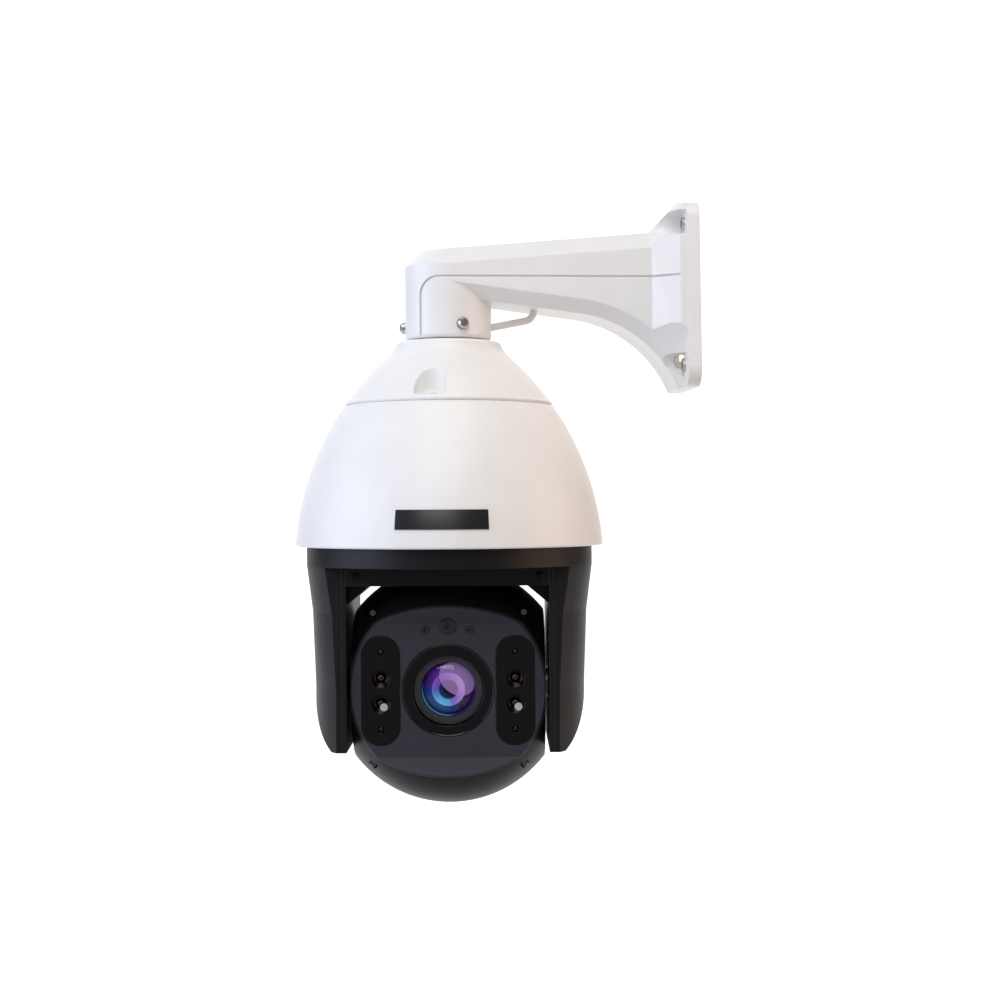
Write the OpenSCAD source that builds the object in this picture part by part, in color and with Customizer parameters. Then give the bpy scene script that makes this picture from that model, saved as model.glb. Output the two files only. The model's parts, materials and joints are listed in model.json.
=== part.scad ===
// Wall-mounted pan-tilt-zoom dome camera.
// Millimetres, +Z up. The origin is the centre of the wall plate's back face.
// The arm runs towards -X, and the head looks towards -Y.

/* [Wall bracket] */
// Distance from the wall to the pan axis
reach = 175; // [160:1:215]
// Height of the wall plate
plate_h = 131; // [124:1:160]
// Width of the wall plate at its top edge
plate_w_top = 84; // [80:1:104]
// Width of the wall plate at its bottom edge
plate_w_bottom = 96; // [88:1:116]
// Thickness of the wall plate
plate_t = 9; // [7.5:0.5:12]
// Corner radius of the wall plate
plate_corner = 13; // [8:1:16]
// Width between the wall bolts
bolt_dy = 60; // [52:1:64]
// Height between the wall bolts
bolt_dz = 100; // [92:1:104]
// Diameter of the wall bolt holes
bolt_d = 5.6; // [4.6:0.2:6.6]
// Outer diameter of the collar, which is also the width of the arm
collar_d = 62; // [59:1:70]
// How far the collar hangs below the arm's datum
collar_drop = 29.8; // [27:0.2:36]
// Size of the 45 degree edges along the top of the arm
arm_edge = 12; // [9:0.5:14]
// Size of the 45 degree edges under the arm
arm_lower_edge = 9; // [6:0.5:11]
// Radius of the arch between the arm and the plate's foot
arch_r = 90; // [84:1:96]
// Wall thickness of the casting
cast_wall = 4.5; // [3.5:0.25:5.5]
// Thickness of the safety loop's rod
loop_d = 5.2; // [4:0.2:6.2]

/* [Neck] */
// Outer diameter of the neck that the collar holds
neck_d = 51.4; // [44:0.2:51.6]
// Bore of the neck, where the cable passes
neck_bore = 40; // [30:0.5:42]
// Height of the neck above the dome
neck_h = 27; // [20:1:30]
// Gap between the collar and the dome
neck_gap = 1.5; // [1:0.1:4]

/* [Dome] */
// Diameter of the sun shield's rim
skirt_d = 220; // [200:1:270]
// Radius of the dome's curved flank
flank_r = 200; // [195:1:240]
// Height of the upper cap
cap_h = 45.4; // [44:0.2:50]
// Height of the sun shield
shield_h = 99.8; // [98:0.2:122]
// Wall thickness of the cap
cap_wall = 3; // [2.5:0.25:4]
// Wall thickness of the sun shield
shield_wall = 2.5; // [2:0.25:3.5]
// Diameter of the three screw pockets
pocket_d = 22; // [18:1:24]

/* [Turret] */
// Height of the black band under the sun shield
band_h = 13.5; // [12.5:0.5:18]
// How far the band stands inside the sun shield's rim
band_inset = 8; // [7:0.5:11]
// Depth of the yoke from front to back
yoke_depth = 116; // [104:1:124]
// How far the arms reach below the tilt axis
arm_drop = 42; // [38:0.5:54]
// Wall thickness of the arm covers
arm_wall = 2.5; // [2:0.25:3]
// Depth of the ceiling bridge under the band
bridge_h = 13; // [11:0.5:15]

/* [Head] */
// Diameter of the ball
ball_d = 170; // [168:1:204]
// Width of the ball over its flat sides
head_w = 134; // [130:1:138]
// Gap between a flat side and the yoke
side_gap = 2.5; // [1.5:0.25:3.5]
// Wall thickness of the ball shells
ball_wall = 3; // [2.5:0.25:3.5]
// How far the flat face stands in front of the tilt axis
face_depth = 53; // [51:0.5:58]
// Half height of the flat part of the face
face_half_h = 46; // [43:0.5:48]
// Thickness of the face plate
face_t = 3; // [2.5:0.25:3.5]
// Diameter of the camera window with its black border
window_d = 64; // [58:1:66]
// Diameter of the clear part of the window
window_clear_d = 49; // [44:1:52]
// Diameter of the front lens
lens_d = 38; // [34:1:40]
// Width of an infrared window
ir_w = 27; // [24:0.5:28]
// Height of an infrared window
ir_h = 76; // [70:1:80]
// Distance from the lens axis to the middle of an infrared window
ir_x = 46.2; // [45:0.2:48]

/* [Fits] */
// Radial play of a shaft in its bearing
run_fit = 0.05; // [0.02:0.01:0.1]
// Play between pieces that are screwed together
seat_fit = 0.1; // [0.05:0.05:0.2]
// Gap between pieces that pass each other
pass_gap = 0.8; // [0.5:0.1:1.2]
// Gap between a belt and its pulley
belt_gap = 0.3; // [0.2:0.1:0.4]

/* [Hidden] */
$fn = 64;

// Turn of the head at rest: the arm and the view are not quite square.
pan_rest = -4;

// Levels, from the top down
dome_top = -collar_drop - neck_gap;
seam_z = dome_top - cap_h;
rim_z = seam_z - shield_h;
turret_z = rim_z - band_h;
ball_r = ball_d / 2;
tilt_z = turret_z - ball_r;

// Bracket
collar_r = collar_d / 2;
collar_bore_r = neck_d / 2 + 0.3;
arm_top = 34.1;
arm_rise = 4.56;
arm_under = -4;
arm_fall = 7.6;
arch_u = reach - 83;
arch_start_z = arm_under - (arch_u - collar_r) * tan(arm_fall);
arch_cu = arch_u - arch_r * sin(arm_fall);
arch_cz = arch_start_z - arch_r * cos(arm_fall);
flare_u = reach - 32;
flare_end = reach - plate_t - 5;
flare_top = arm_top + flare_u * tan(arm_rise);
groove_z = 12.5;
groove_w = 1.4;
collar_screw_z = -20.2;
screw_az = 16.4;

// Dome
skirt_r = skirt_d / 2;
flank_cz = rim_z - 14.5;
flank_cr = skirt_r - sqrt(flank_r * flank_r - 14.5 * 14.5);
cap_round = 3.5;
cap_shoulder = 9;
cap_flat_r = dome_r(dome_top - cap_shoulder) - 7.2;
seam_round = 1.6;
pocket_az = -13;
pocket_floor = seam_z + 4.2;
pocket_r = dome_r(pocket_floor) - 4.6;
cap_screw_r = pocket_r - 3;
housing_inset = 7;
housing_wall = 2.5;
housing_bottom = rim_z + 6;
neck_flange_r = neck_d / 2 + 7.3;

// Base and pan drive
base_top = housing_bottom - 0.5;
base_bottom = rim_z + 1.7;
base_screw_r = dome_r(housing_bottom) - housing_inset - 5.5;
hub_r = 20;
hub_bore_r = 13;
pan_bearing_r = 31;
pulley_r = 38;
pinion_r = 8;
pan_centres = 58;
pan_drive_z = rim_z + 16.5;
drive_h = 8;
motor_w = 42;
motor_h = 33;
motor_z = pan_drive_z + drive_h + 4.5;
board_z = motor_z + motor_h + 1.5;
board_t = 1.6;
power_z = board_z + board_t + 18.4;
standoff_angles = [50, 130, 230, 310];

// Turret
band_r = skirt_r - band_inset;
band_top = base_bottom - pass_gap;
dish_r = ball_r + 3;
yoke_x = head_w / 2 + side_gap;
yoke_y = yoke_depth / 2;
arm_frame_t = 3;
arm_mid_r = band_r - 6;
arm_shoulder_r = band_r - 4;
arm_foot = arm_drop + 4;
boss_x = yoke_x + arm_frame_t + 3.5;
tilt_bearing_r = 16;
trunnion_r = 10;
tilt_drive_x = boss_x + 1;
tilt_drive_w = 5;
tilt_pulley_r = 14;
tilt_pinion_r = 6;
tilt_centres = 44;

// Head
head_x = head_w / 2;
shell_split = -14;
brow_slope = 1.1;
bezel_screw_z = 0.6176 * ball_r;
bezel_screw_x = min(bezel_screw_z, head_x - ball_wall - 6.5);
bezel_screw_seat = 5.5 - sqrt(ball_r * ball_r - pow(bezel_screw_x, 2) - pow(bezel_screw_z, 2));
window_r = window_d / 2;
ir_big_z = 8.8;
ir_small_z = 26.5;
lens_y = -face_depth + 6;
rod_x = 20;

// ---- helpers ----

// Outer radius of the dome at a level
function dome_r(z) = flank_cr + sqrt(flank_r * flank_r - pow(z - flank_cz, 2));

// Points along an arc
function arc_pts(cx, cy, r, a0, a1, n) =
  [for (i = [0 : n]) let (a = a0 + (a1 - a0) * i / n) [cx + r * cos(a), cy + r * sin(a)]];

// Points along the dome's flank, inset sideways
function flank_pts(z0, z1, inset, n) =
  [for (i = [0 : n]) let (z = z0 + (z1 - z0) * i / n) [dome_r(z) - inset, z]];

// Outline of the yoke arms' feet, as [across, height], inset by a wall
function foot_pts(inset, n) =
  [for (i = [0 : n])
    let (a = asin(arm_drop / arm_foot) * i / n)
    [yoke_x + (arm_mid_r - yoke_x) * cos(a) - inset, tilt_z - arm_foot * sin(a)]];

module cyl_x(r, x0, x1) {
  translate([x0, 0, 0]) rotate([0, 90, 0]) cylinder(r = r, h = x1 - x0);
}

module cyl_y(r, y0, y1) {
  translate([0, y1, 0]) rotate([90, 0, 0]) cylinder(r = r, h = y1 - y0);
}

module cyl_z(r, z0, z1) {
  translate([0, 0, z0]) cylinder(r = r, h = z1 - z0);
}

module box(x0, x1, y0, y1, z0, z1) {
  translate([x0, y0, z0]) cube([x1 - x0, y1 - y0, z1 - z0]);
}

module ring_z(r0, r1, z0, z1) {
  difference() {
    cyl_z(r1, z0, z1);
    cyl_z(r0, z0 - 1, z1 + 1);
  }
}

module ring_x(r0, r1, x0, x1) {
  difference() {
    cyl_x(r1, x0, x1);
    cyl_x(r0, x0 - 1, x1 + 1);
  }
}

module ring_y(r0, r1, y0, y1) {
  difference() {
    cyl_y(r1, y0, y1);
    cyl_y(r0, y0 - 1, y1 + 1);
  }
}

// A side profile, drawn as [run, height] and thickened across the arm
module across(half) {
  translate([0, half, 0]) rotate([90, 0, 0]) linear_extrude(2 * half) children();
}

// The bracket's own frame: run u from the pan axis towards the wall
module bracket_frame() {
  translate([-reach, 0, 0]) children();
}

module dome_frame() {
  translate([-reach, 0, 0]) children();
}

module turret_frame() {
  translate([-reach, 0, 0]) rotate([0, 0, pan_rest]) children();
}

module head_frame_at() {
  turret_frame() translate([0, 0, tilt_z]) children();
}

// Three copies round the pan axis
module thirds(az) {
  for (i = [0 : 2]) rotate([0, 0, az + 120 * i]) children();
}

module both_sides() {
  children();
  mirror([1, 0, 0]) children();
}

// Cross-recess pan-head screw, head up, seated at z = 0
module pan_screw(d, head_d, head_h, len) {
  slot = head_d * 0.16;
  difference() {
    union() {
      rotate_extrude() polygon([
        [0, 0], [head_d / 2, 0], [head_d / 2, head_h * 0.55],
        [head_d * 0.36, head_h], [0, head_h]
      ]);
      cyl_z(d / 2, -len, 0.01);
    }
    for (a = [0, 90])
      rotate([0, 0, a])
        box(-head_d * 0.28, head_d * 0.28, -slot / 2, slot / 2, head_h * 0.45, head_h + 1);
  }
}

// Closed belt round two pulleys: two arcs and two straight runs
module belt(r1, r2, centres, thick, wide) {
  a = asin((r1 - r2) / centres);
  lap = 0.03;
  rotate([0, 0, 90 - a]) rotate_extrude(angle = 180 + 2 * a)
    translate([r1, 0]) square([thick, wide]);
  translate([centres, 0, 0]) rotate([0, 0, a - 90]) rotate_extrude(angle = 180 - 2 * a)
    translate([r2, 0]) square([thick, wide]);
  for (s = [0, 1]) mirror([0, s, 0])
    translate([r1 * sin(a), r1 * cos(a), 0]) rotate([0, 0, -a]) translate([-lap, 0, 0])
      cube([centres * cos(a) + 2 * lap, thick, wide]);
}

// ---- wall bracket ----

// Wall plate outline as [y, z], with arcs at the corners
function plate_pts(inset) =
  let (c = max(plate_corner - inset, 1), h = plate_h / 2 - inset,
       t = plate_w_top / 2 - inset, b = plate_w_bottom / 2 - inset)
  concat(
    arc_pts(t - c, h - c, c, 0, 90, 6), arc_pts(-t + c, h - c, c, 90, 180, 6),
    arc_pts(-b + c, -h + c, c, 180, 270, 6), arc_pts(b - c, -h + c, c, 270, 360, 6)
  );

module plate_slab(u0, u1, inset) {
  translate([u0, 0, 0]) rotate([90, 0, 90]) linear_extrude(u1 - u0) polygon(plate_pts(inset));
}

// Roof of the arm: flat top with 45 degree edges, climbing towards the wall
module arm_roof(half, top, edge, u0, u1) {
  translate([0, 0, top]) rotate([0, -arm_rise, 0]) translate([u0, 0, 0])
    rotate([90, 0, 90]) linear_extrude(u1 - u0) polygon([
      [-half, -2 * plate_h], [half, -2 * plate_h], [half, -edge],
      [half - edge, 0], [edge - half, 0], [-half, -edge]
    ]);
}

// What is cut away under the arm: a falling straight, then the arch
module under_arm(half, edge, lift) {
  keel = half - edge;
  wide = plate_w_bottom;
  translate([arch_u, 0, arch_start_z]) rotate([0, arm_fall, 0])
    translate([-2 * reach, 0, lift]) rotate([90, 0, 90]) linear_extrude(2 * reach)
      polygon([
        [-wide, -2 * plate_h], [wide, -2 * plate_h], [wide, wide - keel],
        [keel, 0], [-keel, 0], [-wide, wide - keel]
      ]);
  translate([arch_cu, 0, arch_cz]) rotate([90, 0, 0]) rotate_extrude($fn = 96) polygon([
    [0, -wide], [arch_r + lift + wide - keel, -wide], [arch_r + lift, -keel],
    [arch_r + lift, keel], [arch_r + lift + wide - keel, wide], [0, wide]
  ]);
}

// The flare that spreads the arm out to the plate
module plate_flare() {
  mid = plate_h / 2 + 1;
  hull() {
    intersection() {
      arm_roof(collar_r, arm_top, arm_edge, flare_u - 10, flare_u + 10);
      box(flare_u - 0.2, flare_u, -collar_r, collar_r, -mid, mid);
    }
    plate_slab(flare_end, reach - plate_t + 0.5, 0.5);
  }
}

module arm_solid() {
  difference() {
    union() {
      intersection() {
        arm_roof(collar_r, arm_top, arm_edge, -1, 2 * reach);
        box(0, reach - plate_t + 1, -collar_r, collar_r, -plate_h / 2, plate_h / 2);
      }
      plate_flare();
    }
    under_arm(collar_r, arm_lower_edge, 0);
  }
}

// Duct through the arm, open into the collar and at the wall
module arm_duct() {
  half = collar_r - cast_wall;
  top = arm_top - cast_wall - 0.5;
  difference() {
    intersection() {
      arm_roof(half, top, arm_edge - 2, -1, 2 * reach);
      box(0, reach + 1, -half, half, -plate_h / 2 + 14, plate_h / 2 - 14);
    }
    under_arm(half, arm_lower_edge - 2, cast_wall);
  }
}

module collar_solid() {
  round = 3;
  rotate_extrude() polygon(concat(
    [[0, -collar_drop]],
    arc_pts(collar_r - round, -collar_drop + round, round, 270, 360, 5),
    [[collar_r, arm_top - arm_edge], [collar_r - 2 * arm_edge, arm_top + arm_edge],
     [0, arm_top + arm_edge]]
  ));
}

// Panel line along both sides, turning down round the front of the collar
module panel_groove() {
  bend = 12;
  w = groove_w / 2;
  slope = (plate_w_bottom / 2 - 4.6 - collar_r) / (flare_end - flare_u);
  difference() {
    across(plate_w_bottom) {
      translate([-8, groove_z - w]) square([flare_end + 8, groove_w]);
      translate([-8 - bend - w, -collar_drop - 1])
        square([groove_w, collar_drop + 1 + groove_z - bend]);
      intersection() {
        translate([-8, groove_z - bend]) difference() {
          circle(r = bend + w);
          circle(r = bend - w);
        }
        translate([-8 - 2 * bend, groove_z - bend]) square(2 * bend);
      }
    }
    cyl_z(collar_r - 1, -plate_h, plate_h);
    translate([0, 0, -plate_h]) linear_extrude(2 * plate_h) polygon([
      [0, -collar_r + 1], [flare_u, -collar_r + 1],
      [flare_end + 9, -collar_r + 1 - slope * (flare_end + 9 - flare_u)],
      [flare_end + 9, collar_r - 1 + slope * (flare_end + 9 - flare_u)],
      [flare_u, collar_r - 1], [0, collar_r - 1]
    ]);
  }
}

module bolt_places() {
  for (y = [-1, 1], z = [-1, 1])
    translate([reach, y * bolt_dy / 2, z * bolt_dz / 2]) children();
}

// Screw access cut in front of each bolt hole, open to the side
module bolt_pocket() {
  tool_r = 8.5;
  for (s = [-1, 1], t = [-1, 1])
    translate([0, s * bolt_dy / 2, t * bolt_dz / 2]) {
      cyl_x(tool_r, reach - 60, reach - plate_t);
      box(reach - 60, reach - plate_t, min(0, s * 40), max(0, s * 40), -tool_r, tool_r);
    }
}

// Ends and corner of the safety loop, as [run, height]
loop_start = [collar_r - 3, -20.8];
loop_corner = [60.6, -14.5];
loop_end = [62.5, -3];

// Two straight rods that meet in a rounded knuckle
module loop_rod(r) {
  knuckle = 1.08 * r;
  for (far = [loop_start, loop_end]) {
    run = far - loop_corner;
    translate([loop_corner[0], 0, loop_corner[1]]) rotate([0, atan2(run[0], run[1]), 0])
      cylinder(r = r, h = norm(run));
  }
  translate([loop_corner[0], 0, loop_corner[1]]) rotate([90, 0, 0]) sphere(r = knuckle);
}

module wall_bracket() color("whitesmoke") bracket_frame() {
  difference() {
    union() {
      difference() {
        union() {
          intersection() {
            collar_solid();
            arm_roof(2 * collar_r, arm_top, 0.01, -2 * collar_r, 2 * collar_r);
          }
          arm_solid();
        }
        bolt_pocket();
      }
      plate_slab(reach - plate_t, reach, 0);
    }
    panel_groove();
    arm_duct();
    cyl_z(collar_bore_r, -collar_drop - 1, arm_top - 14);
    difference() {
      plate_slab(reach - plate_t + 4, reach + 1, 8);
      bolt_places() cyl_x(8, -plate_t, 1);
    }
    difference() {
      plate_slab(reach - 2, reach + 1, 2.4);
      plate_slab(reach - 3, reach + 2, 5.4);
    }
    bolt_places() cyl_x(bolt_d / 2, -plate_t - 1, 1);
    thirds(screw_az) translate([0, 0, collar_screw_z]) cyl_y(2.1, -collar_r - 5, 0);
    loop_rod(loop_d / 2 + run_fit);
  }
}

module wall_seal() color("dimgray") bracket_frame() {
  difference() {
    plate_slab(reach - 1.9, reach, 2.5);
    plate_slab(reach - 3, reach + 1, 5.3);
  }
}

module wall_washers() color("silver") bracket_frame() {
  bolt_places() ring_x(bolt_d / 2, bolt_d / 2 + 2.2, -plate_t - 1.8, -plate_t);
}

module collar_screws() color("silver") bracket_frame() {
  thirds(screw_az) translate([0, -collar_r - 1.2, collar_screw_z]) rotate([90, 0, 0])
    pan_screw(4, 8, 3.1, 8);
  thirds(screw_az) translate([0, 0, collar_screw_z])
    difference() {
      ring_y(2.1, 4.4, -collar_r - 1.2, -collar_r + 1);
      cyl_z(collar_r, -9, 9);
    }
}

module safety_loop() color("whitesmoke") bracket_frame() {
  loop_rod(loop_d / 2);
}

// ---- neck ----

module neck_adapter() color("gainsboro") dome_frame() {
  top = dome_top + neck_h;
  under = dome_top - cap_wall - 1.6;
  difference() {
    union() {
      cyl_z(neck_d / 2, under - 4, top);
      cyl_z(neck_flange_r, under - 4, under);
    }
    cyl_z(neck_bore / 2, under - 5, top + 1);
    ring_z(neck_d / 2 - 1.8, neck_d, collar_screw_z - 2.5, collar_screw_z + 2.5);
  }
}

module neck_gasket() color("dimgray") dome_frame() {
  ring_z(neck_d / 2 + 0.6, neck_flange_r, dome_top - cap_wall - 1.55, dome_top - cap_wall - 1.05);
}

module cable_grommet() color("dimgray") dome_frame() {
  low = dome_top - cap_wall - 5.6;
  difference() {
    cyl_z(neck_bore / 2 - 0.05, low, low + 6);
    translate([-7, 0, 0]) cyl_z(4, low - 1, low + 7);
    translate([7, 0, 0]) cyl_z(5, low - 1, low + 7);
  }
}

// ---- dome ----

// Solid form of the cap, used to trim its pockets
module cap_form() {
  rotate_extrude() polygon(concat(
    [[0, dome_top]],
    arc_pts(cap_flat_r, dome_top - cap_round, cap_round, 90, 0, 5),
    flank_pts(dome_top - cap_shoulder, seam_z + seam_round, 0, 10),
    [[dome_r(seam_z) - 0.5, seam_z + 0.5], [dome_r(seam_z) - 2, seam_z], [0, seam_z]]
  ));
}

module cap_hollow() {
  side = cap_wall * 1.45;
  top = dome_top - cap_wall - 1;
  rotate_extrude() polygon(concat(
    [[0, top], [cap_flat_r - 1, top]],
    flank_pts(dome_top - cap_shoulder, seam_z - 1, side, 10),
    [[0, seam_z - 1]]
  ));
}

module pocket_places() {
  thirds(pocket_az) translate([0, -pocket_r, 0]) children();
}

module cap_screw_places() {
  thirds(pocket_az) translate([0, -cap_screw_r, 0]) children();
}

module upper_cap() color("whitesmoke") dome_frame() {
  difference() {
    union() {
      difference() {
        cap_form();
        cap_hollow();
      }
      intersection() {
        cap_form();
        pocket_places() cyl_z(pocket_d / 2 + 2.4, seam_z, dome_top);
      }
    }
    pocket_places() cyl_z(pocket_d / 2, pocket_floor, dome_top);
    cap_screw_places() cyl_z(2.2, seam_z - 1, pocket_floor + 1);
    cyl_z(neck_d / 2 + 0.3, dome_top - 9, dome_top + 1);
  }
}

module cap_screws() color("silver") dome_frame() {
  cap_screw_places() translate([0, 0, pocket_floor]) pan_screw(4, 7.6, 2.6, 18);
}

module sun_shield() color("whitesmoke") dome_frame() {
  top = seam_z - 0.05;
  difference() {
    rotate_extrude() polygon(concat(
      [[cap_screw_r - 9, top], [dome_r(seam_z) - 2, top], [dome_r(seam_z) - 0.6, top - 0.4]],
      flank_pts(seam_z - 1.2, rim_z, 0, 20),
      flank_pts(rim_z, seam_z - 3.2, shield_wall * 1.1, 20),
      [[cap_screw_r - 9, top - 2.6]]
    ));
    cap_screw_places() cyl_z(2.2, seam_z - 5, seam_z + 1);
  }
}

// Blank name strip on the front of the sun shield
module name_strip() color("darkgray") dome_frame() {
  strip_h = 13;
  strip_z = rim_z + 19.5;
  strip_angle = 33;
  rotate([0, 0, -90 - 5 - strip_angle / 2]) rotate_extrude(angle = strip_angle) polygon(concat(
    flank_pts(strip_z - strip_h / 2, strip_z + strip_h / 2, -0.7, 4),
    flank_pts(strip_z + strip_h / 2, strip_z - strip_h / 2, -0.05, 4)
  ));
}

module inner_housing() color("dimgray") dome_frame() {
  top = seam_z - 3.6;
  difference() {
    union() {
      rotate_extrude() polygon(concat(
        [[30, top]],
        flank_pts(top, housing_bottom, housing_inset, 12),
        [[base_screw_r - 6, housing_bottom], [base_screw_r - 6, housing_bottom + 3]],
        flank_pts(housing_bottom + 3, top - 3, housing_inset + housing_wall, 12),
        [[30, top - 3]]
      ));
      cap_screw_places() cyl_z(5, top - 13, top);
    }
    cap_screw_places() cyl_z(2.05, top - 14, top + 1);
    thirds(30) translate([0, -base_screw_r, 0]) cyl_z(1.6, housing_bottom - 1, housing_bottom + 4);
  }
}

module base_plate() color("dimgray") dome_frame() {
  difference() {
    union() {
      cyl_z(dome_r(base_bottom) - shield_wall * 1.1 - 0.5, base_bottom, base_top);
      cyl_z(pan_bearing_r + 5, base_bottom, pan_drive_z - 1);
    }
    cyl_z(pan_bearing_r + seat_fit / 2, base_bottom + 2.5, pan_drive_z);
    cyl_z(hub_r + 4, base_bottom - 1, pan_drive_z);
    thirds(30) translate([0, -base_screw_r, 0]) {
      cyl_z(3.2, base_bottom - 1, base_bottom + 2.2);
      cyl_z(1.6, base_bottom, base_top + 1);
    }
  }
}

module base_seal() color("black") dome_frame() {
  difference() {
    ring_z(base_screw_r - 5.5, base_screw_r + 5, base_top, housing_bottom);
    thirds(30) translate([0, -base_screw_r, 0]) cyl_z(1.6, base_top - 1, housing_bottom + 1);
  }
}

module base_screws() color("silver") dome_frame() {
  thirds(30) translate([0, -base_screw_r, base_bottom + 2.2]) rotate([180, 0, 0])
    pan_screw(3, 6, 2, 7);
}

// ---- pan drive ----

module pan_bearing() color("silver") dome_frame() {
  low = base_bottom + 2.5;
  high = pan_drive_z - 2;
  ring_z(hub_r + run_fit, hub_r + 3.5, low, high);
  ring_z(pan_bearing_r - 3.5, pan_bearing_r, low, high);
  ring_z(hub_r + 3.5, pan_bearing_r - 3.5, low + 1.5, high - 1.5);
}

module pan_motor() color("black") dome_frame() translate([pan_centres, 0, 0]) {
  cut = 6;
  half = motor_w / 2;
  difference() {
    translate([0, 0, motor_z]) linear_extrude(motor_h) polygon([
      [half, cut - half], [half, half - cut], [half - cut, half], [cut - half, half],
      [-half, half - cut], [-half, cut - half], [cut - half, -half], [half - cut, -half]
    ]);
    cyl_z(2.5 + run_fit, motor_z - 1, motor_z + 9);
  }
}

module motor_bracket() color("silver") dome_frame() {
  half = motor_w / 2;
  difference() {
    union() {
      box(pan_centres - half, pan_centres + half, -32, 32, motor_z - 2.5, motor_z - 0.05);
      for (s = [-1, 1]) {
        translate([pan_centres - 11, s * 28, 0]) cyl_z(3, base_top, motor_z - 1);
        translate([pan_centres + 15.5, s * 28, 0]) cyl_z(3, base_top, motor_z - 1);
      }
    }
    translate([pan_centres, 0, 0]) cyl_z(11, motor_z - 5, motor_z + 1);
  }
}

module pulley(r, flange_r, bore_r, wide) {
  difference() {
    union() {
      cyl_z(flange_r, 0, 1);
      cyl_z(r, 0, wide);
      cyl_z(flange_r, wide - 1, wide);
    }
    cyl_z(bore_r, -1, wide + 1);
  }
}

module pan_belt() color("black") dome_frame() translate([0, 0, pan_drive_z + 1.5])
  belt(pulley_r + belt_gap, pinion_r + belt_gap, pan_centres, 1.3, drive_h - 3);

module pan_pinion() color("gold") dome_frame() translate([pan_centres, 0, pan_drive_z]) {
  pulley(pinion_r, pinion_r + 1.8, 1, drive_h);
  cyl_z(2.5, 0, motor_z - pan_drive_z + 8);
}

module pan_hub() color("silver") turret_frame() {
  foot = turret_z + 3;
  difference() {
    union() {
      cyl_z(hub_r, foot, pan_drive_z + drive_h + 11);
      cyl_z(hub_r + 10, foot, band_top - 3);
    }
    translate([0, 0, tilt_z]) sphere(r = dish_r + 3 + seat_fit / 2);
    cyl_z(hub_bore_r, foot - 1, pan_drive_z + drive_h + 12);
  }
}

module pan_pulley() color("silver") turret_frame() {
  translate([0, 0, pan_drive_z]) pulley(pulley_r, pulley_r + 2, hub_r + 0.03, drive_h);
  ring_z(hub_r + 0.03, hub_r + 5, pan_drive_z - 1.9, pan_drive_z + 0.01);
}

module slip_ring_rotor() color("gold") turret_frame() {
  low = band_top - 2;
  cyl_z(hub_bore_r - 0.05, low, low + 3);
  cyl_z(9, low, pan_drive_z + drive_h + 9);
}

module slip_ring_stator() color("dimgray") dome_frame() {
  cyl_z(12.5, pan_drive_z + drive_h + 12.5, board_z - 0.05);
}

// ---- boards ----

module main_board() color("darkgreen") dome_frame() {
  top = board_z + board_t;
  difference() {
    cyl_z(76, board_z, top);
    cyl_z(7, board_z - 1, top + 1);
    for (a = standoff_angles) rotate([0, 0, a]) translate([70, 0, 0]) cyl_z(1.6, board_z - 1, top + 1);
  }
  box(-30, -12, -14, 4, top, top + 1.6);
  box(16, 28, -40, -28, top, top + 1.2);
  box(-8, 12, 30, 46, top, top + 9);
  for (i = [0 : 3]) translate([-50 + 11 * i, -45, 0]) cyl_z(4, top, top + 10);
}

module power_board() color("darkgreen") dome_frame() {
  difference() {
    cyl_z(56, power_z, power_z + board_t);
    cyl_z(12, power_z - 1, power_z + board_t + 1);
    for (a = standoff_angles) rotate([0, 0, a]) translate([50, 0, 0]) cyl_z(1.6, power_z - 1, power_z + 4);
  }
  box(-46, -22, -14, 14, power_z + board_t, power_z + board_t + 5);
  box(20, 40, -10, 10, power_z + board_t, power_z + board_t + 4);
}

module board_standoffs() color("gold") dome_frame() {
  for (a = standoff_angles) rotate([0, 0, a]) {
    translate([70, 0, 0]) cyl_z(3, base_top, board_z);
    translate([70, 0, 0]) cyl_z(1.5, board_z - 1, board_z + board_t + 2);
    translate([50, 0, 0]) cyl_z(3, board_z + board_t, power_z);
    translate([50, 0, 0]) cyl_z(1.5, power_z - 1, power_z + board_t + 2);
  }
}

// ---- turret ----

module turntable() color("#1c1d20") turret_frame() {
  difference() {
    union() {
      difference() {
        cyl_z(band_r, turret_z, band_top);
        cyl_z(band_r - 3, turret_z + 3, band_top + 1);
      }
      intersection() {
        translate([0, 0, tilt_z]) sphere(r = dish_r + 3);
        cyl_z(band_r - 10, turret_z, band_top);
      }
    }
    translate([0, 0, tilt_z]) sphere(r = dish_r);
    cyl_z(7, turret_z - 1, band_top + 1);
  }
}

// Screws that hold the bridge, near the arms on both faces
bridge_screw_x = yoke_x - 6.5;
bridge_screw_z = turret_z - 6.5;

module bridge_screw_places() {
  for (turn = [0, 180], s = [-1, 1])
    rotate([0, 0, turn]) translate([s * bridge_screw_x, -yoke_y, bridge_screw_z]) children();
}

module yoke_bridge() color("#1c1d20") turret_frame() {
  gusset = 15.5;
  top = turret_z - seat_fit / 2;
  low = turret_z - bridge_h;
  side = yoke_x - seat_fit / 2;
  difference() {
    union() {
      box(-side, side, -yoke_y, yoke_y, low, top);
      both_sides() across(40) polygon([
        [side - gusset, low + 1], [side, low + 1], [side, low - gusset * 0.84],
        [side - gusset, low]
      ]);
    }
    translate([0, 0, tilt_z]) sphere(r = dish_r);
    bridge_screw_places() cyl_y(1.6, -1, 9);
  }
}

module bridge_screws() color("silver") turret_frame() {
  bridge_screw_places() rotate([90, 0, 0]) pan_screw(3, 5.6, 2, 8);
}

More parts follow.
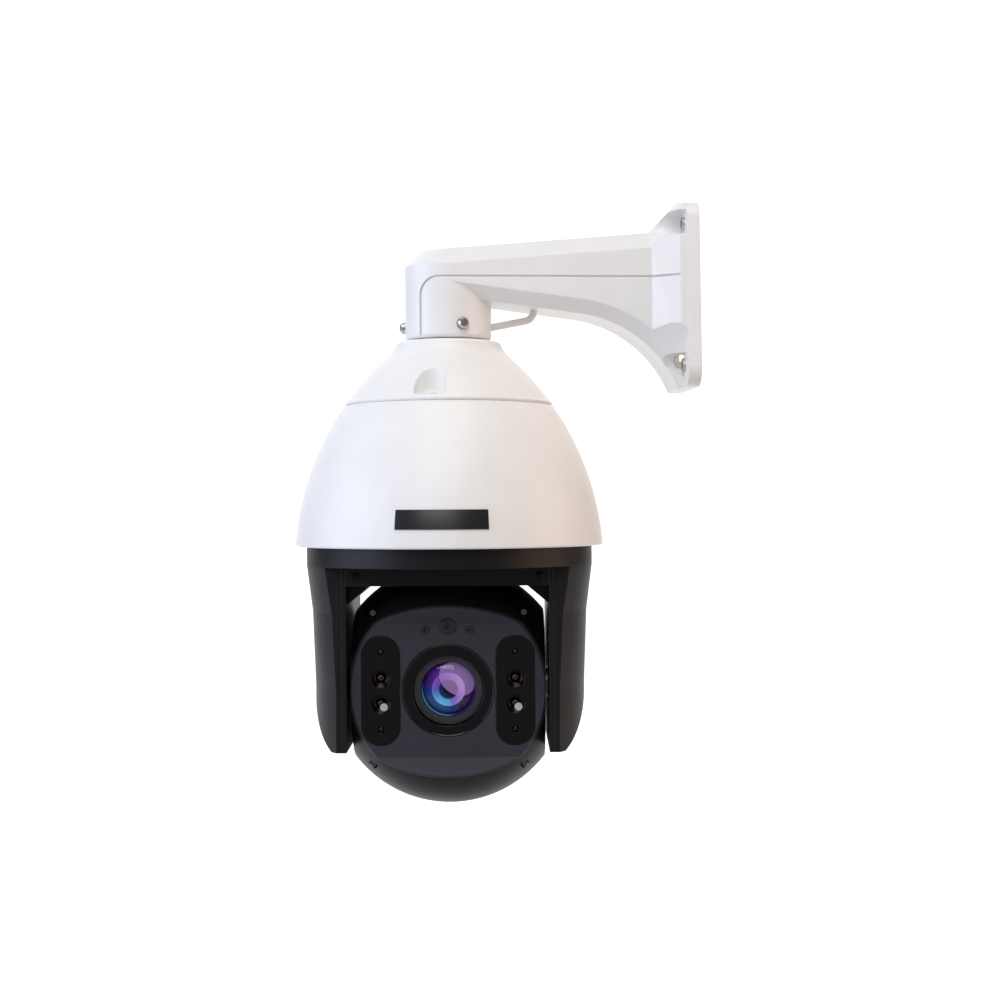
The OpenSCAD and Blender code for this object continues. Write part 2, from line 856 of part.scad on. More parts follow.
// Solid form of the right arm: turned about the pan axis, with a foot that curves in
module arm_form(inset, bottom) {
  top = turret_z - seat_fit / 2;
  intersection() {
    rotate_extrude() polygon([
      [yoke_x - 20, top], [band_r - inset, top], [arm_shoulder_r - inset, turret_z - 32],
      [arm_mid_r - inset, tilt_z], [arm_mid_r - inset, bottom], [yoke_x - 20, bottom]
    ]);
    across(yoke_depth) polygon(concat(
      [[0, bottom], [0, top + 1], [skirt_r, top + 1], [skirt_r, tilt_z]],
      foot_pts(inset, 12), [[yoke_x, bottom]]
    ));
  }
}

module arm_half_space(x0, depth) {
  box(x0, skirt_r + 20, -depth, depth, tilt_z - arm_drop - 1, turret_z);
}

arm_screw_x = yoke_x + arm_frame_t + 3.6;
arm_screw_levels = [turret_z - 8, turret_z - 22];

module arm_frame_blank() {
  plate_end = yoke_x + arm_frame_t;
  intersection() {
    arm_form(0, tilt_z - arm_drop);
    box(yoke_x, plate_end, -yoke_y, yoke_y, tilt_z - arm_drop - 1, turret_z);
  }
  translate([0, 0, tilt_z]) cyl_x(tilt_bearing_r + 4, plate_end - 0.5, boss_x);
  intersection() {
    arm_form(arm_wall + seat_fit, tilt_z - arm_drop);
    for (z = arm_screw_levels)
      box(plate_end - 0.5, plate_end + 7, yoke_y - 12, yoke_y - arm_wall - seat_fit, z - 4, z + 4);
  }
}

module arm_frame_holes() {
  translate([0, 0, tilt_z]) cyl_x(tilt_bearing_r + seat_fit / 2, yoke_x - 1, boss_x + 1);
  for (z = arm_screw_levels)
    translate([arm_screw_x, 0, z]) cyl_y(1.35, yoke_y - 13, yoke_y);
}

module arm_frame_left() color("#1c1d20") turret_frame() mirror([1, 0, 0])
  difference() {
    arm_frame_blank();
    arm_frame_holes();
  }

// The right frame also carries the tilt motor on a small bridge
module arm_frame_right() color("#1c1d20") turret_frame() {
  motor_face = tilt_drive_x + tilt_drive_w + 1;
  difference() {
    union() {
      arm_frame_blank();
      translate([0, 0, tilt_z + tilt_centres]) {
        box(motor_face, motor_face + 1.5, -22, 22, -12, 12);
        for (s = [-1, 1]) translate([0, s * 19, 0]) cyl_x(2.5, yoke_x + arm_frame_t - 0.5, motor_face + 1);
      }
    }
    arm_frame_holes();
    translate([0, 0, tilt_z + tilt_centres]) cyl_x(5, motor_face - 1, motor_face + 3);
  }
}

module arm_cover() {
  face = yoke_x + arm_frame_t + seat_fit;
  difference() {
    intersection() {
      arm_form(0, tilt_z - arm_drop);
      arm_half_space(face, yoke_y);
    }
    intersection() {
      arm_form(arm_wall, tilt_z - arm_drop + arm_wall);
      arm_half_space(face - 1, yoke_y - arm_wall);
      cyl_z(skirt_d, tilt_z - arm_drop + arm_wall, turret_z - 1.5);
    }
    for (z = arm_screw_levels)
      translate([arm_screw_x, 0, z]) cyl_y(1.6, yoke_y - 5, yoke_y + 1);
  }
}

module arm_cover_left() color("#1c1d20") turret_frame() mirror([1, 0, 0]) arm_cover();

module arm_cover_right() color("#1c1d20") turret_frame() arm_cover();

module arm_screws() color("silver") turret_frame() both_sides()
  for (z = arm_screw_levels)
    translate([arm_screw_x, yoke_y, z]) rotate([-90, 0, 0]) pan_screw(2.6, 5, 1.6, 11);

module tilt_bearings() color("silver") turret_frame() both_sides()
  translate([0, 0, tilt_z])
    ring_x(trunnion_r + run_fit, tilt_bearing_r, yoke_x + 0.3, boss_x - 0.1);

module tilt_motor() color("black") turret_frame() {
  face = tilt_drive_x + tilt_drive_w + 2.55;
  translate([0, 0, tilt_z + tilt_centres]) difference() {
    cyl_x(13.5, face, face + 8.5);
    cyl_x(2 + run_fit, face - 1, face + 6);
  }
}

// Turns a pulley or belt drawn about Z into the tilt drive's plane
module tilt_plane() {
  translate([tilt_drive_x, 0, tilt_z]) rotate([0, 90, 0]) rotate([0, 0, 180]) children();
}

module tilt_belt() color("black") turret_frame() tilt_plane() translate([0, 0, 1.2])
  belt(tilt_pulley_r + belt_gap, tilt_pinion_r + belt_gap, tilt_centres, 1, tilt_drive_w - 2.4);

module tilt_pinion() color("gold") turret_frame() tilt_plane() translate([tilt_centres, 0, 0]) {
  pulley(tilt_pinion_r, tilt_pinion_r + 1.4, 1, tilt_drive_w);
  cyl_z(2, 0, tilt_drive_w + 7);
}

// ---- head ----

// The sphere's poles lie on the tilt axis, where the flat sides cut them off
module ball_form(r, half) {
  intersection() {
    rotate([0, 90, 0]) rotate([0, 0, 90]) sphere(r = r, $fn = 96);
    box(-half, half, -2 * r, 2 * r, -2 * r, 2 * r);
  }
}

// The same form turned about the tilt axis, for the shell that wraps past the middle
module ball_turned(r, half) {
  a = acos(half / r);
  rotate([0, 90, 0]) rotate_extrude($fn = 96) polygon(concat(
    [[0, -half]], arc_pts(0, 0, r, a - 90, 90 - a, 40), [[0, half]]
  ));
}

module ball_shell() {
  difference() {
    ball_form(ball_r, head_x);
    ball_form(ball_r - ball_wall, head_x - ball_wall);
  }
}

// Section of the face: flat in the middle, sloping out at top and bottom
module face_cut(back) {
  rise = 30;
  y0 = -face_depth + back;
  translate([-head_w, 0, 0]) rotate([90, 0, 90]) linear_extrude(2 * head_w) polygon([
    [y0, -face_half_h], [y0, face_half_h], [y0 - rise, face_half_h + brow_slope * rise],
    [-2 * ball_r, face_half_h + brow_slope * rise],
    [-2 * ball_r, -face_half_h - brow_slope * rise],
    [y0 - rise, -face_half_h - brow_slope * rise]
  ]);
}

module bezel_screw_places() {
  for (sx = [-1, 1], sz = [-1, 1])
    translate([sx * bezel_screw_x, 0, sz * bezel_screw_z]) children();
}

module rear_shell() color("#1c1d20") head_frame_at() {
  split = shell_split + 0.3;
  difference() {
    union() {
      difference() {
        ball_turned(ball_r, head_x);
        ball_turned(ball_r - ball_wall, head_x - ball_wall);
        box(-ball_r, ball_r, -2 * ball_r, split, -2 * ball_r, 2 * ball_r);
      }
      bezel_screw_places() cyl_y(4.5, split, ball_r * 0.36);
    }
    bezel_screw_places() cyl_y(1.6, split - 1, split + 11);
    cyl_x(trunnion_r + 0.4, -ball_r - 9, ball_r + 9);
  }
}

module front_bezel() color("#1c1d20") head_frame_at() {
  split = shell_split - 0.3;
  difference() {
    union() {
      difference() {
        ball_shell();
        box(-ball_r, ball_r, split, 2 * ball_r, -2 * ball_r, 2 * ball_r);
      }
      intersection() {
        ball_form(ball_r - 0.5, head_x - 0.5);
        bezel_screw_places() cyl_y(4.5, -ball_r, split);
      }
    }
    face_cut(face_t + seat_fit);
    bezel_screw_places() cyl_y(3.1, -ball_r, bezel_screw_seat);
    bezel_screw_places() cyl_y(1.7, -ball_r, ball_r);
  }
}

module head_seal() color("dimgray") head_frame_at() {
  inside = ball_wall + 0.2;
  difference() {
    intersection() {
      ball_form(ball_r - inside, head_x - inside);
      box(-ball_r, ball_r, shell_split - 1.5, shell_split + 1.5, -ball_r, ball_r);
    }
    ball_form(ball_r - inside - 1.3, head_x - inside - 1.3);
  }
}

module bezel_screws() color("silver") head_frame_at()
  bezel_screw_places() translate([0, bezel_screw_seat, 0]) rotate([90, 0, 0])
    pan_screw(3, 5.6, 2.4, 10 + shell_split - bezel_screw_seat);

// Outline of an infrared window: a capsule hollowed beside the lens
module ir_outline(inset) {
  half = ir_w / 2 - inset;
  straight = ir_h / 2 - ir_w / 2;
  difference() {
    union() {
      translate([0, straight]) circle(r = half);
      translate([0, -straight]) circle(r = half);
      translate([-half, -straight]) square([2 * half, 2 * straight]);
    }
    translate([-ir_x, 0]) circle(r = window_r + 1.2 + inset);
  }
}

module ir_prism(inset, y0, y1) {
  translate([ir_x, y1, 0]) rotate([90, 0, 0]) linear_extrude(y1 - y0) ir_outline(inset);
}

// Sensor eyes above the lens, as [x, z, radius]
sensor_eyes = [[0, face_half_h - 1.8, 5.7], [-15.5, face_half_h - 4.5, 2.8], [15, face_half_h - 4.5, 2.8]];

module face_plate() color("#34353c") head_frame_at() {
  difference() {
    intersection() {
      ball_form(ball_r, head_x);
      face_cut(face_t);
    }
    face_cut(0);
    cyl_y(window_r + seat_fit, -face_depth - 1, ball_r);
    both_sides() ir_prism(0, -ball_r, ball_r);
    for (e = sensor_eyes) translate([e[0], 0, e[1]]) cyl_y(e[2] + 0.05, -ball_r, ball_r);
  }
}

module window_border() color("#08080a") head_frame_at()
  ring_y(window_clear_d / 2, window_r, -face_depth + 0.3, -face_depth + face_t + 1);

module lens_window() color("lightblue", 0.3) head_frame_at()
  cyl_y(window_clear_d / 2 - 0.05, -face_depth + 0.5, -face_depth + 2.5);

module ir_windows() color("#0a0a0c") head_frame_at() both_sides()
  difference() {
    ir_prism(0.05, -face_depth - 0.2, -face_depth + face_t);
    for (s = [-1, 1]) {
      translate([ir_x, 0, s * ir_big_z]) cyl_y(6.7, -ball_r, ball_r);
      translate([ir_x, 0, s * ir_small_z]) cyl_y(2.4, -ball_r, ball_r);
    }
  }

// Reflector cups with their lenses, and the small emitters, flat against their board
module ir_lenses() color("gray") head_frame_at() both_sides() {
  back = -face_depth + face_t;
  difference() {
    for (s = [-1, 1]) {
      translate([ir_x, back, s * ir_big_z]) rotate([90, 0, 0]) rotate_extrude() polygon([
        [0, 0], [6.65, 0], [6.65, face_t - 0.2], [6, face_t - 0.2], [3, 0.8], [0, 0.8]
      ]);
      translate([ir_x, back - 0.75, s * ir_big_z]) sphere(r = 1.9);
      translate([ir_x, 0, s * ir_small_z]) cyl_y(2.35, back - 1.6, back);
      translate([ir_x, back - 1.5, s * ir_small_z]) sphere(r = 1.7);
    }
    box(0, head_x, back, back + 5, -head_x, head_x);
  }
}

module ir_boards() color("darkgreen") head_frame_at() both_sides()
  ir_prism(2.5, -face_depth + face_t + 0.05, -face_depth + face_t + 1.65);

module light_sensor() color("#2a2b30") head_frame_at()
  for (e = sensor_eyes)
    translate([e[0], 0, e[1]]) difference() {
      cyl_y(e[2], -face_depth - 0.4, -face_depth + face_t);
      cyl_y(e[2] * 0.42, -face_depth - 1, -face_depth + 0.8);
    }

module trunnions() color("silver") head_frame_at() both_sides() {
  flange_r = -shell_split - 1.8;
  difference() {
    union() {
      cyl_x(flange_r, head_x - ball_wall - 4, head_x - ball_wall - 0.05);
      cyl_x(trunnion_r, head_x - ball_wall - 1, boss_x);
      cyl_x(7, boss_x - 1, tilt_drive_x + tilt_drive_w + 0.6);
    }
    cyl_x(4.5, 0, ball_r + 20);
  }
}

module tilt_pulley() color("gainsboro") turret_frame() tilt_plane()
  pulley(tilt_pulley_r, tilt_pulley_r + 1.5, 7.03, tilt_drive_w);

module head_frame() color("silver") head_frame_at() {
  side = head_x - ball_wall - 4.05;
  floor_z = -31;
  box(-side, side, -20, 38, floor_z - 2, floor_z);
  both_sides() difference() {
    box(side - 2, side, -20, 20, floor_z - 2, 24);
    cyl_x(5, 0, ball_r);
  }
}

module camera_body() color("#2b2b2e") head_frame_at() {
  difference() {
    box(-28, 28, lens_y + 14, 50, -30.9, 30);
    box(-25, 25, lens_y + 17, 47, -28, 27);
    cyl_y(lens_d / 2 - 2, lens_y, lens_y + 20);
  }
  for (s = [-1, 1]) translate([s * rod_x, 0, 0]) cyl_y(1.5, lens_y + 16.5, 34);
  for (s = [-1, 1]) box(s * rod_x - 3, s * rod_x + 3, 32, 35, -28.5, 3);
  difference() {
    box(-25.5, 25.5, 39, 41, -28.5, 27.5);
    box(-7, 7, 38, 42, -6, 6);
  }
}

module lens_barrel() color("#26272b") head_frame_at() {
  difference() {
    cyl_y(window_clear_d / 2 - 0.6, lens_y - 2, lens_y + 13.95);
    cyl_y(lens_d / 2, lens_y - 3, lens_y + 8);
    cyl_y(lens_d / 2 - 2, lens_y, lens_y + 20);
  }
}

module front_lens() color("#3a1f66") head_frame_at() {
  sag = 3.2;
  half = lens_d / 2 - 0.05;
  curve = (half * half + sag * sag) / (2 * sag);
  intersection() {
    cyl_y(half, lens_y - 1, lens_y + 7.95);
    translate([0, lens_y + curve, 0]) sphere(r = curve, $fn = 96);
  }
}

// Lens cell that rides on the two guide rods
module lens_cell(r, y0, y1) {
  mid = (y0 + y1) / 2;
  difference() {
    union() {
      cyl_y(r, y0, y1);
      box(-rod_x - 3, rod_x + 3, y0, y1, -3, 3);
    }
    cyl_y(r - 2.5, y0 - 1, y1 + 1);
    for (s = [-1, 1]) translate([s * rod_x, 0, 0]) cyl_y(1.5 + run_fit, y0 - 1, y1 + 1);
  }
  cyl_y(r - 2.45, mid - 2, mid + 2);
}

module zoom_group() color("#2b2b2e") head_frame_at() lens_cell(14, -8, 2);

module focus_group() color("#2b2b2e") head_frame_at() lens_cell(12, 20, 26);

module filter_slide() color("cyan") head_frame_at()
  box(-13, 13, 36.2, 37.8, -9, 9);

wall_bracket();
wall_seal();
wall_washers();
collar_screws();
safety_loop();
neck_adapter();
neck_gasket();
cable_grommet();
upper_cap();
cap_screws();
sun_shield();
name_strip();
inner_housing();
base_plate();
base_seal();
base_screws();
pan_bearing();
pan_motor();
motor_bracket();
pan_belt();
slip_ring_stator();
main_board();
board_standoffs();
power_board();
pan_pinion();
turntable();
pan_hub();
pan_pulley();
slip_ring_rotor();
yoke_bridge();
bridge_screws();
arm_frame_left();
arm_frame_right();
arm_cover_left();
arm_cover_right();
arm_screws();
tilt_bearings();
tilt_motor();
tilt_belt();
tilt_pinion();
rear_shell();
front_bezel();
head_seal();
bezel_screws();
face_plate();
window_border();
lens_window();
ir_windows();
ir_lenses();
ir_boards();
light_sensor();
trunnions();
tilt_pulley();
head_frame();
camera_body();
lens_barrel();
front_lens();
zoom_group();
focus_group();
filter_slide();
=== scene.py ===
import json
import math

import bmesh
import bpy
from mathutils import Matrix, Vector


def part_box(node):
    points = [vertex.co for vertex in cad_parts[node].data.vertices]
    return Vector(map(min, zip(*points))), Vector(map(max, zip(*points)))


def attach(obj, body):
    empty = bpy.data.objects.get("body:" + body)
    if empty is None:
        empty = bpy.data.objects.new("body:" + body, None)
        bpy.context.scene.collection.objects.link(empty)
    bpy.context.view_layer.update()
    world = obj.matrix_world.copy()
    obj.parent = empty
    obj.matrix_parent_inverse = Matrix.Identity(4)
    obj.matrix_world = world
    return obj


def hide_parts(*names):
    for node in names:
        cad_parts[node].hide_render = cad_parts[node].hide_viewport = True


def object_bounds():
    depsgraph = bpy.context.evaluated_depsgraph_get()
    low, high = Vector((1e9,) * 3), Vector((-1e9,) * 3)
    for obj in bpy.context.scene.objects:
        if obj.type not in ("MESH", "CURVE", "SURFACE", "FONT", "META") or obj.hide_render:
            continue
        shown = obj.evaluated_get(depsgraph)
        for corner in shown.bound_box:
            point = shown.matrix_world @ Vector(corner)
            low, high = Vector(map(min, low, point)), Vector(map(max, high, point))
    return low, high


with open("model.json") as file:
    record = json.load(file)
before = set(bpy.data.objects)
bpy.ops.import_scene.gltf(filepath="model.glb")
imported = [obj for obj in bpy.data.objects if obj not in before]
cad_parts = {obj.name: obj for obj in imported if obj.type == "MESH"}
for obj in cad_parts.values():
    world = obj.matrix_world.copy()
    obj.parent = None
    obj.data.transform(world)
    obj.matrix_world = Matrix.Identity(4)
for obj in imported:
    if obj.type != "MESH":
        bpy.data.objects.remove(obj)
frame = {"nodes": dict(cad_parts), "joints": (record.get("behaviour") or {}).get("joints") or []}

cad_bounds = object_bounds()
mm = 0.001

# ---- Wall bracket ----
# One aluminium die casting: a wall plate, a hollow arm and a collar that grips the neck.
# It is shot-blasted and powder-coated white, so it has a satin skin with a faint orange peel.


def to_linear(hex_colour):
    """The linear colour that a shader takes, from an sRGB hex value."""
    parts = [int(hex_colour[i:i + 2], 16) / 255 for i in (1, 3, 5)]
    return [p / 12.92 if p < 0.04045 else ((p + 0.055) / 1.055) ** 2.4 for p in parts] + [1.0]


def add(tree, kind, inputs=None, links=None, stops=(), **settings):
    """Adds a shader node with its settings, socket values, links and, for a ramp, its stops."""
    node = tree.nodes.new("ShaderNode" + kind)
    for name, value in settings.items():
        setattr(node, name, value)
    for name, value in (inputs or {}).items():
        node.inputs[name].default_value = value
    for name, source in (links or {}).items():
        tree.links.new(source, node.inputs[name])
    for i, (place, hex_colour) in enumerate(stops):
        steps = node.color_ramp.elements
        step = steps[i] if i < 2 else steps.new(place)
        step.position = place
        step.color = to_linear(hex_colour)
    return node


def new_material(name):
    """A named material with an empty node tree."""
    material = bpy.data.materials.new(name)
    material.use_nodes = True
    material.node_tree.nodes.clear()
    return material, material.node_tree


def grain(size_mm):
    """Scale of a noise whose features are about that many millimetres across."""
    return 1 / (size_mm * mm)


def powder_coat():
    """Polyester powder on aluminium: cured melt, so edges are soft and the skin slightly wavy."""
    material, tree = new_material("powder_coat_white")
    place = add(tree, "TexCoord").outputs["Object"]
    peel = add(tree, "TexNoise", {"Scale": grain(1.6), "Detail": 1.5}, {"Vector": place})
    wave = add(tree, "TexNoise", {"Scale": grain(26), "Detail": 2}, {"Vector": place})
    edge = add(tree, "Bevel", {"Radius": 1.3 * mm}, samples=8)
    skin = add(tree, "Bump", {"Strength": 0.05, "Distance": 0.1 * mm},
               {"Height": peel.outputs["Fac"], "Normal": edge.outputs[0]})
    tone = add(tree, "ValToRGB", links={"Fac": wave.outputs["Fac"]},
               stops=[(0, "#ECEBE9"), (1, "#F4F3F1")])
    gloss = add(tree, "MapRange", {"To Min": 0.34, "To Max": 0.44}, {"Value": wave.outputs["Fac"]})
    shader = add(tree, "BsdfPrincipled", {"IOR": 1.5},
                 {"Base Color": tone.outputs[0], "Roughness": gloss.outputs[0],
                  "Normal": skin.outputs[0]})
    add(tree, "OutputMaterial", links={"Surface": shader.outputs[0]})
    return material


def finish(name, material, smooth_below=32):
    """Gives a CAD piece its finish, with soft shading across angles under the limit."""
    piece = frame["nodes"][name]
    piece.data.materials.clear()
    piece.data.materials.append(material)
    piece.data.shade_smooth()
    piece.data.set_sharp_from_angle(angle=math.radians(smooth_below))
    return piece


white_coat = powder_coat()
finish("wall_bracket", white_coat)


# The safety loop is one cast rod that leaves the collar, bends up and runs into the arm.
# A rope from the unit hooks through it, so the bend is smooth and coated like the rest.

pan_axis = Vector(next(j for j in frame["joints"] if j["name"] == "pan")["pos_m"])


def new_piece(name, mesh, material, body):
    """Puts a finished mesh into the scene as a piece that rides on a body."""
    piece = bpy.data.objects.new(name, mesh)
    bpy.context.scene.collection.objects.link(piece)
    mesh.materials.clear()
    mesh.materials.append(material)
    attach(piece, body)
    return piece


y_axis = Vector((0, 1, 0))


def rod(name, path, radius, steps=28):
    """A round rod along points that lie in a plane across Y, with closed ends."""
    form = bmesh.new()
    rings = []
    for i, point in enumerate(path):
        along = (path[min(i + 1, len(path) - 1)] - path[max(i - 1, 0)]).normalized()
        side = along.cross(y_axis)
        turns = [2 * math.pi * k / steps for k in range(steps)]
        rings.append([form.verts.new(point + radius * (math.cos(t) * side + math.sin(t) * y_axis))
                      for t in turns])
    for one, two in zip(rings, rings[1:]):
        for k in range(steps):
            form.faces.new([one[k], one[(k + 1) % steps], two[(k + 1) % steps], two[k]])
    form.faces.new(rings[0])
    form.faces.new(rings[-1])
    bmesh.ops.recalc_face_normals(form, faces=form.faces)
    mesh = bpy.data.meshes.new(name)
    form.to_mesh(mesh)
    form.free()
    mesh.shade_smooth()
    mesh.set_sharp_from_angle(angle=math.radians(50))
    return mesh


loop_radius = 2.6 * mm
loop_bend = 7 * mm
bend_steps = 12
loop_ends = [Vector((pan_axis.x + out * mm, 0, z * mm))
             for out, z in ((28.5, -20.7), (60.6, -14.5), (62.4, -3.5))]
into = (loop_ends[1] - loop_ends[0]).normalized()
away = (loop_ends[2] - loop_ends[1]).normalized()
half_turn = into.angle(away) / 2
bend_centre = loop_ends[1] + (away - into).normalized() * loop_bend / math.cos(half_turn)
loop_path = [loop_ends[0]]
for i in range(bend_steps + 1):
    lean = into.slerp(away, i / bend_steps)
    loop_path.append(bend_centre + y_axis.cross(lean) * loop_bend)
loop_path.append(loop_ends[2])
loop_piece = new_piece("safety_loop_rod", rod("safety_loop_rod", loop_path, loop_radius), white_coat,
                       "bracket_and_dome")
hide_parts("safety_loop")


# The wall seal is a moulded EPDM cord that sits in the plate's groove and meets the wall.
# Black rubber with a fine bloom: matt, with hardly any highlight.


def moulded_rubber():
    """EPDM: carbon black makes it deep grey, the mould's texture keeps it matt."""
    material, tree = new_material("moulded_epdm")
    place = add(tree, "TexCoord").outputs["Object"]
    bloom = add(tree, "TexNoise", {"Scale": grain(3), "Detail": 4}, {"Vector": place})
    tone = add(tree, "ValToRGB", links={"Fac": bloom.outputs["Fac"]},
               stops=[(0, "#161617"), (1, "#232325")])
    skin = add(tree, "Bump", {"Strength": 0.3, "Distance": 0.05 * mm}, {"Height": bloom.outputs["Fac"]})
    shader = add(tree, "BsdfPrincipled", {"Roughness": 0.82, "IOR": 1.52},
                 {"Base Color": tone.outputs[0], "Normal": skin.outputs[0]})
    add(tree, "OutputMaterial", links={"Surface": shader.outputs[0]})
    return material


black_rubber = moulded_rubber()
for name in ("wall_seal", "neck_gasket", "cable_grommet", "base_seal", "head_seal"):
    finish(name, black_rubber)


# Most screws and the washers are cold-headed stainless steel, tumbled bright.
# The metal keeps faint marks, so its highlights break up a little.
# The cap's screws are coated white, like the shell that they hold.


def tumbled_stainless():
    """A2 stainless: neutral grey metal, bright but slightly scattered by tumbling."""
    material, tree = new_material("tumbled_stainless")
    place = add(tree, "TexCoord").outputs["Object"]
    marks = add(tree, "TexNoise", {"Scale": grain(0.5), "Detail": 3}, {"Vector": place})
    gloss = add(tree, "MapRange", {"To Min": 0.16, "To Max": 0.34}, {"Value": marks.outputs["Fac"]})
    edge = add(tree, "Bevel", {"Radius": 0.25 * mm}, samples=6)
    shader = add(tree, "BsdfPrincipled", {"Base Color": to_linear("#C8C6C2"), "Metallic": 1.0},
                 {"Roughness": gloss.outputs[0], "Normal": edge.outputs[0]})
    add(tree, "OutputMaterial", links={"Surface": shader.outputs[0]})
    return material


stainless = tumbled_stainless()
for name in ("wall_washers", "collar_screws", "base_screws", "arm_screws"):
    finish(name, stainless)
finish("cap_screws", white_coat)

# ---- Neck ----
# The neck is a die-cast tube that rises from the dome into the collar.
# Its visible part is machined and left bare, so it is plain grey aluminium.


def cast_aluminium():
    """Bare die casting: light grey metal with a fine cast grain."""
    material, tree = new_material("bare_cast_aluminium")
    place = add(tree, "TexCoord").outputs["Object"]
    cast = add(tree, "TexNoise", {"Scale": grain(0.9), "Detail": 4}, {"Vector": place})
    skin = add(tree, "Bump", {"Strength": 0.25, "Distance": 0.08 * mm}, {"Height": cast.outputs["Fac"]})
    gloss = add(tree, "MapRange", {"To Min": 0.38, "To Max": 0.55}, {"Value": cast.outputs["Fac"]})
    shader = add(tree, "BsdfPrincipled", {"Base Color": to_linear("#B4B6B8"), "Metallic": 1.0},
                 {"Roughness": gloss.outputs[0], "Normal": skin.outputs[0]})
    add(tree, "OutputMaterial", links={"Surface": shader.outputs[0]})
    return material


bare_casting = cast_aluminium()
for name in ("neck_adapter", "base_plate", "pan_hub", "pan_pulley", "trunnions", "tilt_pulley"):
    finish(name, bare_casting)

# ---- Upper cap ----
# A deep-drawn aluminium cap, coated with the same white powder as the bracket.
# Three pockets in its flank let a driver reach the screws that hold it to the housing.

shield_low, shield_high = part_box("sun_shield")
cap_low, cap_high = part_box("upper_cap")
rim_z = shield_low.z
seam_z = cap_low.z
cap_top = cap_high.z
rim_radius = (shield_high.x - shield_low.x) / 2

# The dome's flank is one arc, which would be widest a little below the rim.
flank_radius = 200 * mm
flank_drop = 14.5 * mm
flank_height = rim_z - flank_drop
flank_centre = rim_radius - math.sqrt(flank_radius ** 2 - flank_drop ** 2)


def flank(z, inset=0.0):
    """Radius of the dome's flank at a level, less a wall."""
    return flank_centre + math.sqrt(flank_radius ** 2 - (z - flank_height) ** 2) - inset


def arc(centre_r, centre_z, radius, start, end, steps=8):
    """Points of a fillet in the profile plane, from one angle to another in degrees."""
    turns = [math.radians(start + (end - start) * i / steps) for i in range(steps + 1)]
    return [(centre_r + radius * math.cos(t), centre_z + radius * math.sin(t)) for t in turns]


def revolve(name, profile, steps=256, centre=(0, 0)):
    """A closed profile of (radius, height) turned about the vertical through a centre."""
    form = bmesh.new()
    rings = []
    for radius, z in profile:
        if radius < 1e-7:
            rings.append([form.verts.new((centre[0], centre[1], z))] * steps)
            continue
        turns = [2 * math.pi * i / steps for i in range(steps)]
        rings.append([form.verts.new((centre[0] + radius * math.cos(t),
                                      centre[1] + radius * math.sin(t), z)) for t in turns])
    for low, high in zip(rings, rings[1:] + rings[:1]):
        for i in range(steps):
            corners = [low[i], low[(i + 1) % steps], high[(i + 1) % steps], high[i]]
            corners = [v for k, v in enumerate(corners) if v not in corners[:k]]
            if len(corners) > 2:
                form.faces.new(corners)
    bmesh.ops.recalc_face_normals(form, faces=form.faces)
    mesh = bpy.data.meshes.new(name)
    form.to_mesh(mesh)
    form.free()
    return mesh


def combined(name, mesh, other, operation):
    """One mesh cut by or joined with another."""
    first = bpy.data.objects.new(name, mesh)
    second = bpy.data.objects.new(name + "_tool", other)
    for piece in (first, second):
        bpy.context.scene.collection.objects.link(piece)
    cut = first.modifiers.new("cut", "BOOLEAN")
    cut.operation = operation
    cut.object = second
    cut.solver = "EXACT"
    result = bpy.data.meshes.new_from_object(first.evaluated_get(bpy.context.evaluated_depsgraph_get()))
    bpy.data.objects.remove(first)
    bpy.data.objects.remove(second)
    result.name = name
    return result


def rounded(name, mesh, width_mm, steps=3, above=34):
    """The same mesh with its sharp edges rounded and its shading smoothed."""
    piece = bpy.data.objects.new(name, mesh)
    bpy.context.scene.collection.objects.link(piece)
    bevel = piece.modifiers.new("round", "BEVEL")
    bevel.width = width_mm * mm
    bevel.segments = steps
    bevel.limit_method = "ANGLE"
    bevel.angle_limit = math.radians(above)
    bevel.miter_outer = "MITER_ARC"
    result = bpy.data.meshes.new_from_object(piece.evaluated_get(bpy.context.evaluated_depsgraph_get()))
    bpy.data.objects.remove(piece)
    result.name = name
    result.shade_smooth()
    result.set_sharp_from_angle(angle=math.radians(above))
    return result


cap_wall = 3 * mm
level_wall = cap_wall * 1.45       # measured level, where the flank leans
crown_round = 3.5 * mm
crown_hole = 26 * mm
crown_under = cap_top - cap_wall - 1 * mm
shoulder_z = cap_top - 9 * mm
flat_radius = flank(shoulder_z) - 7.2 * mm
seam_round = 1.6 * mm
levels = [shoulder_z + (seam_z + 2.4 * mm - shoulder_z) * i / 40 for i in range(41)]
cap_outer = (arc(flat_radius, cap_top - crown_round, crown_round, 90, 0)
             + [(flank(z), z) for z in levels]
             + arc(flank(seam_z) - 1.7 * mm, seam_z + seam_round, seam_round, 0, -90))
cap_inner = ([(flank(seam_z, level_wall), seam_z)]
             + [(flank(z, level_wall), z) for z in reversed(levels)]
             + [(flat_radius - 1 * mm, crown_under), (crown_hole, crown_under), (crown_hole, cap_top)])
cap_shell = revolve("upper_cap_shell", cap_outer + cap_inner, centre=pan_axis)
cap_solid = cap_outer + [(0, seam_z), (0, cap_top)]

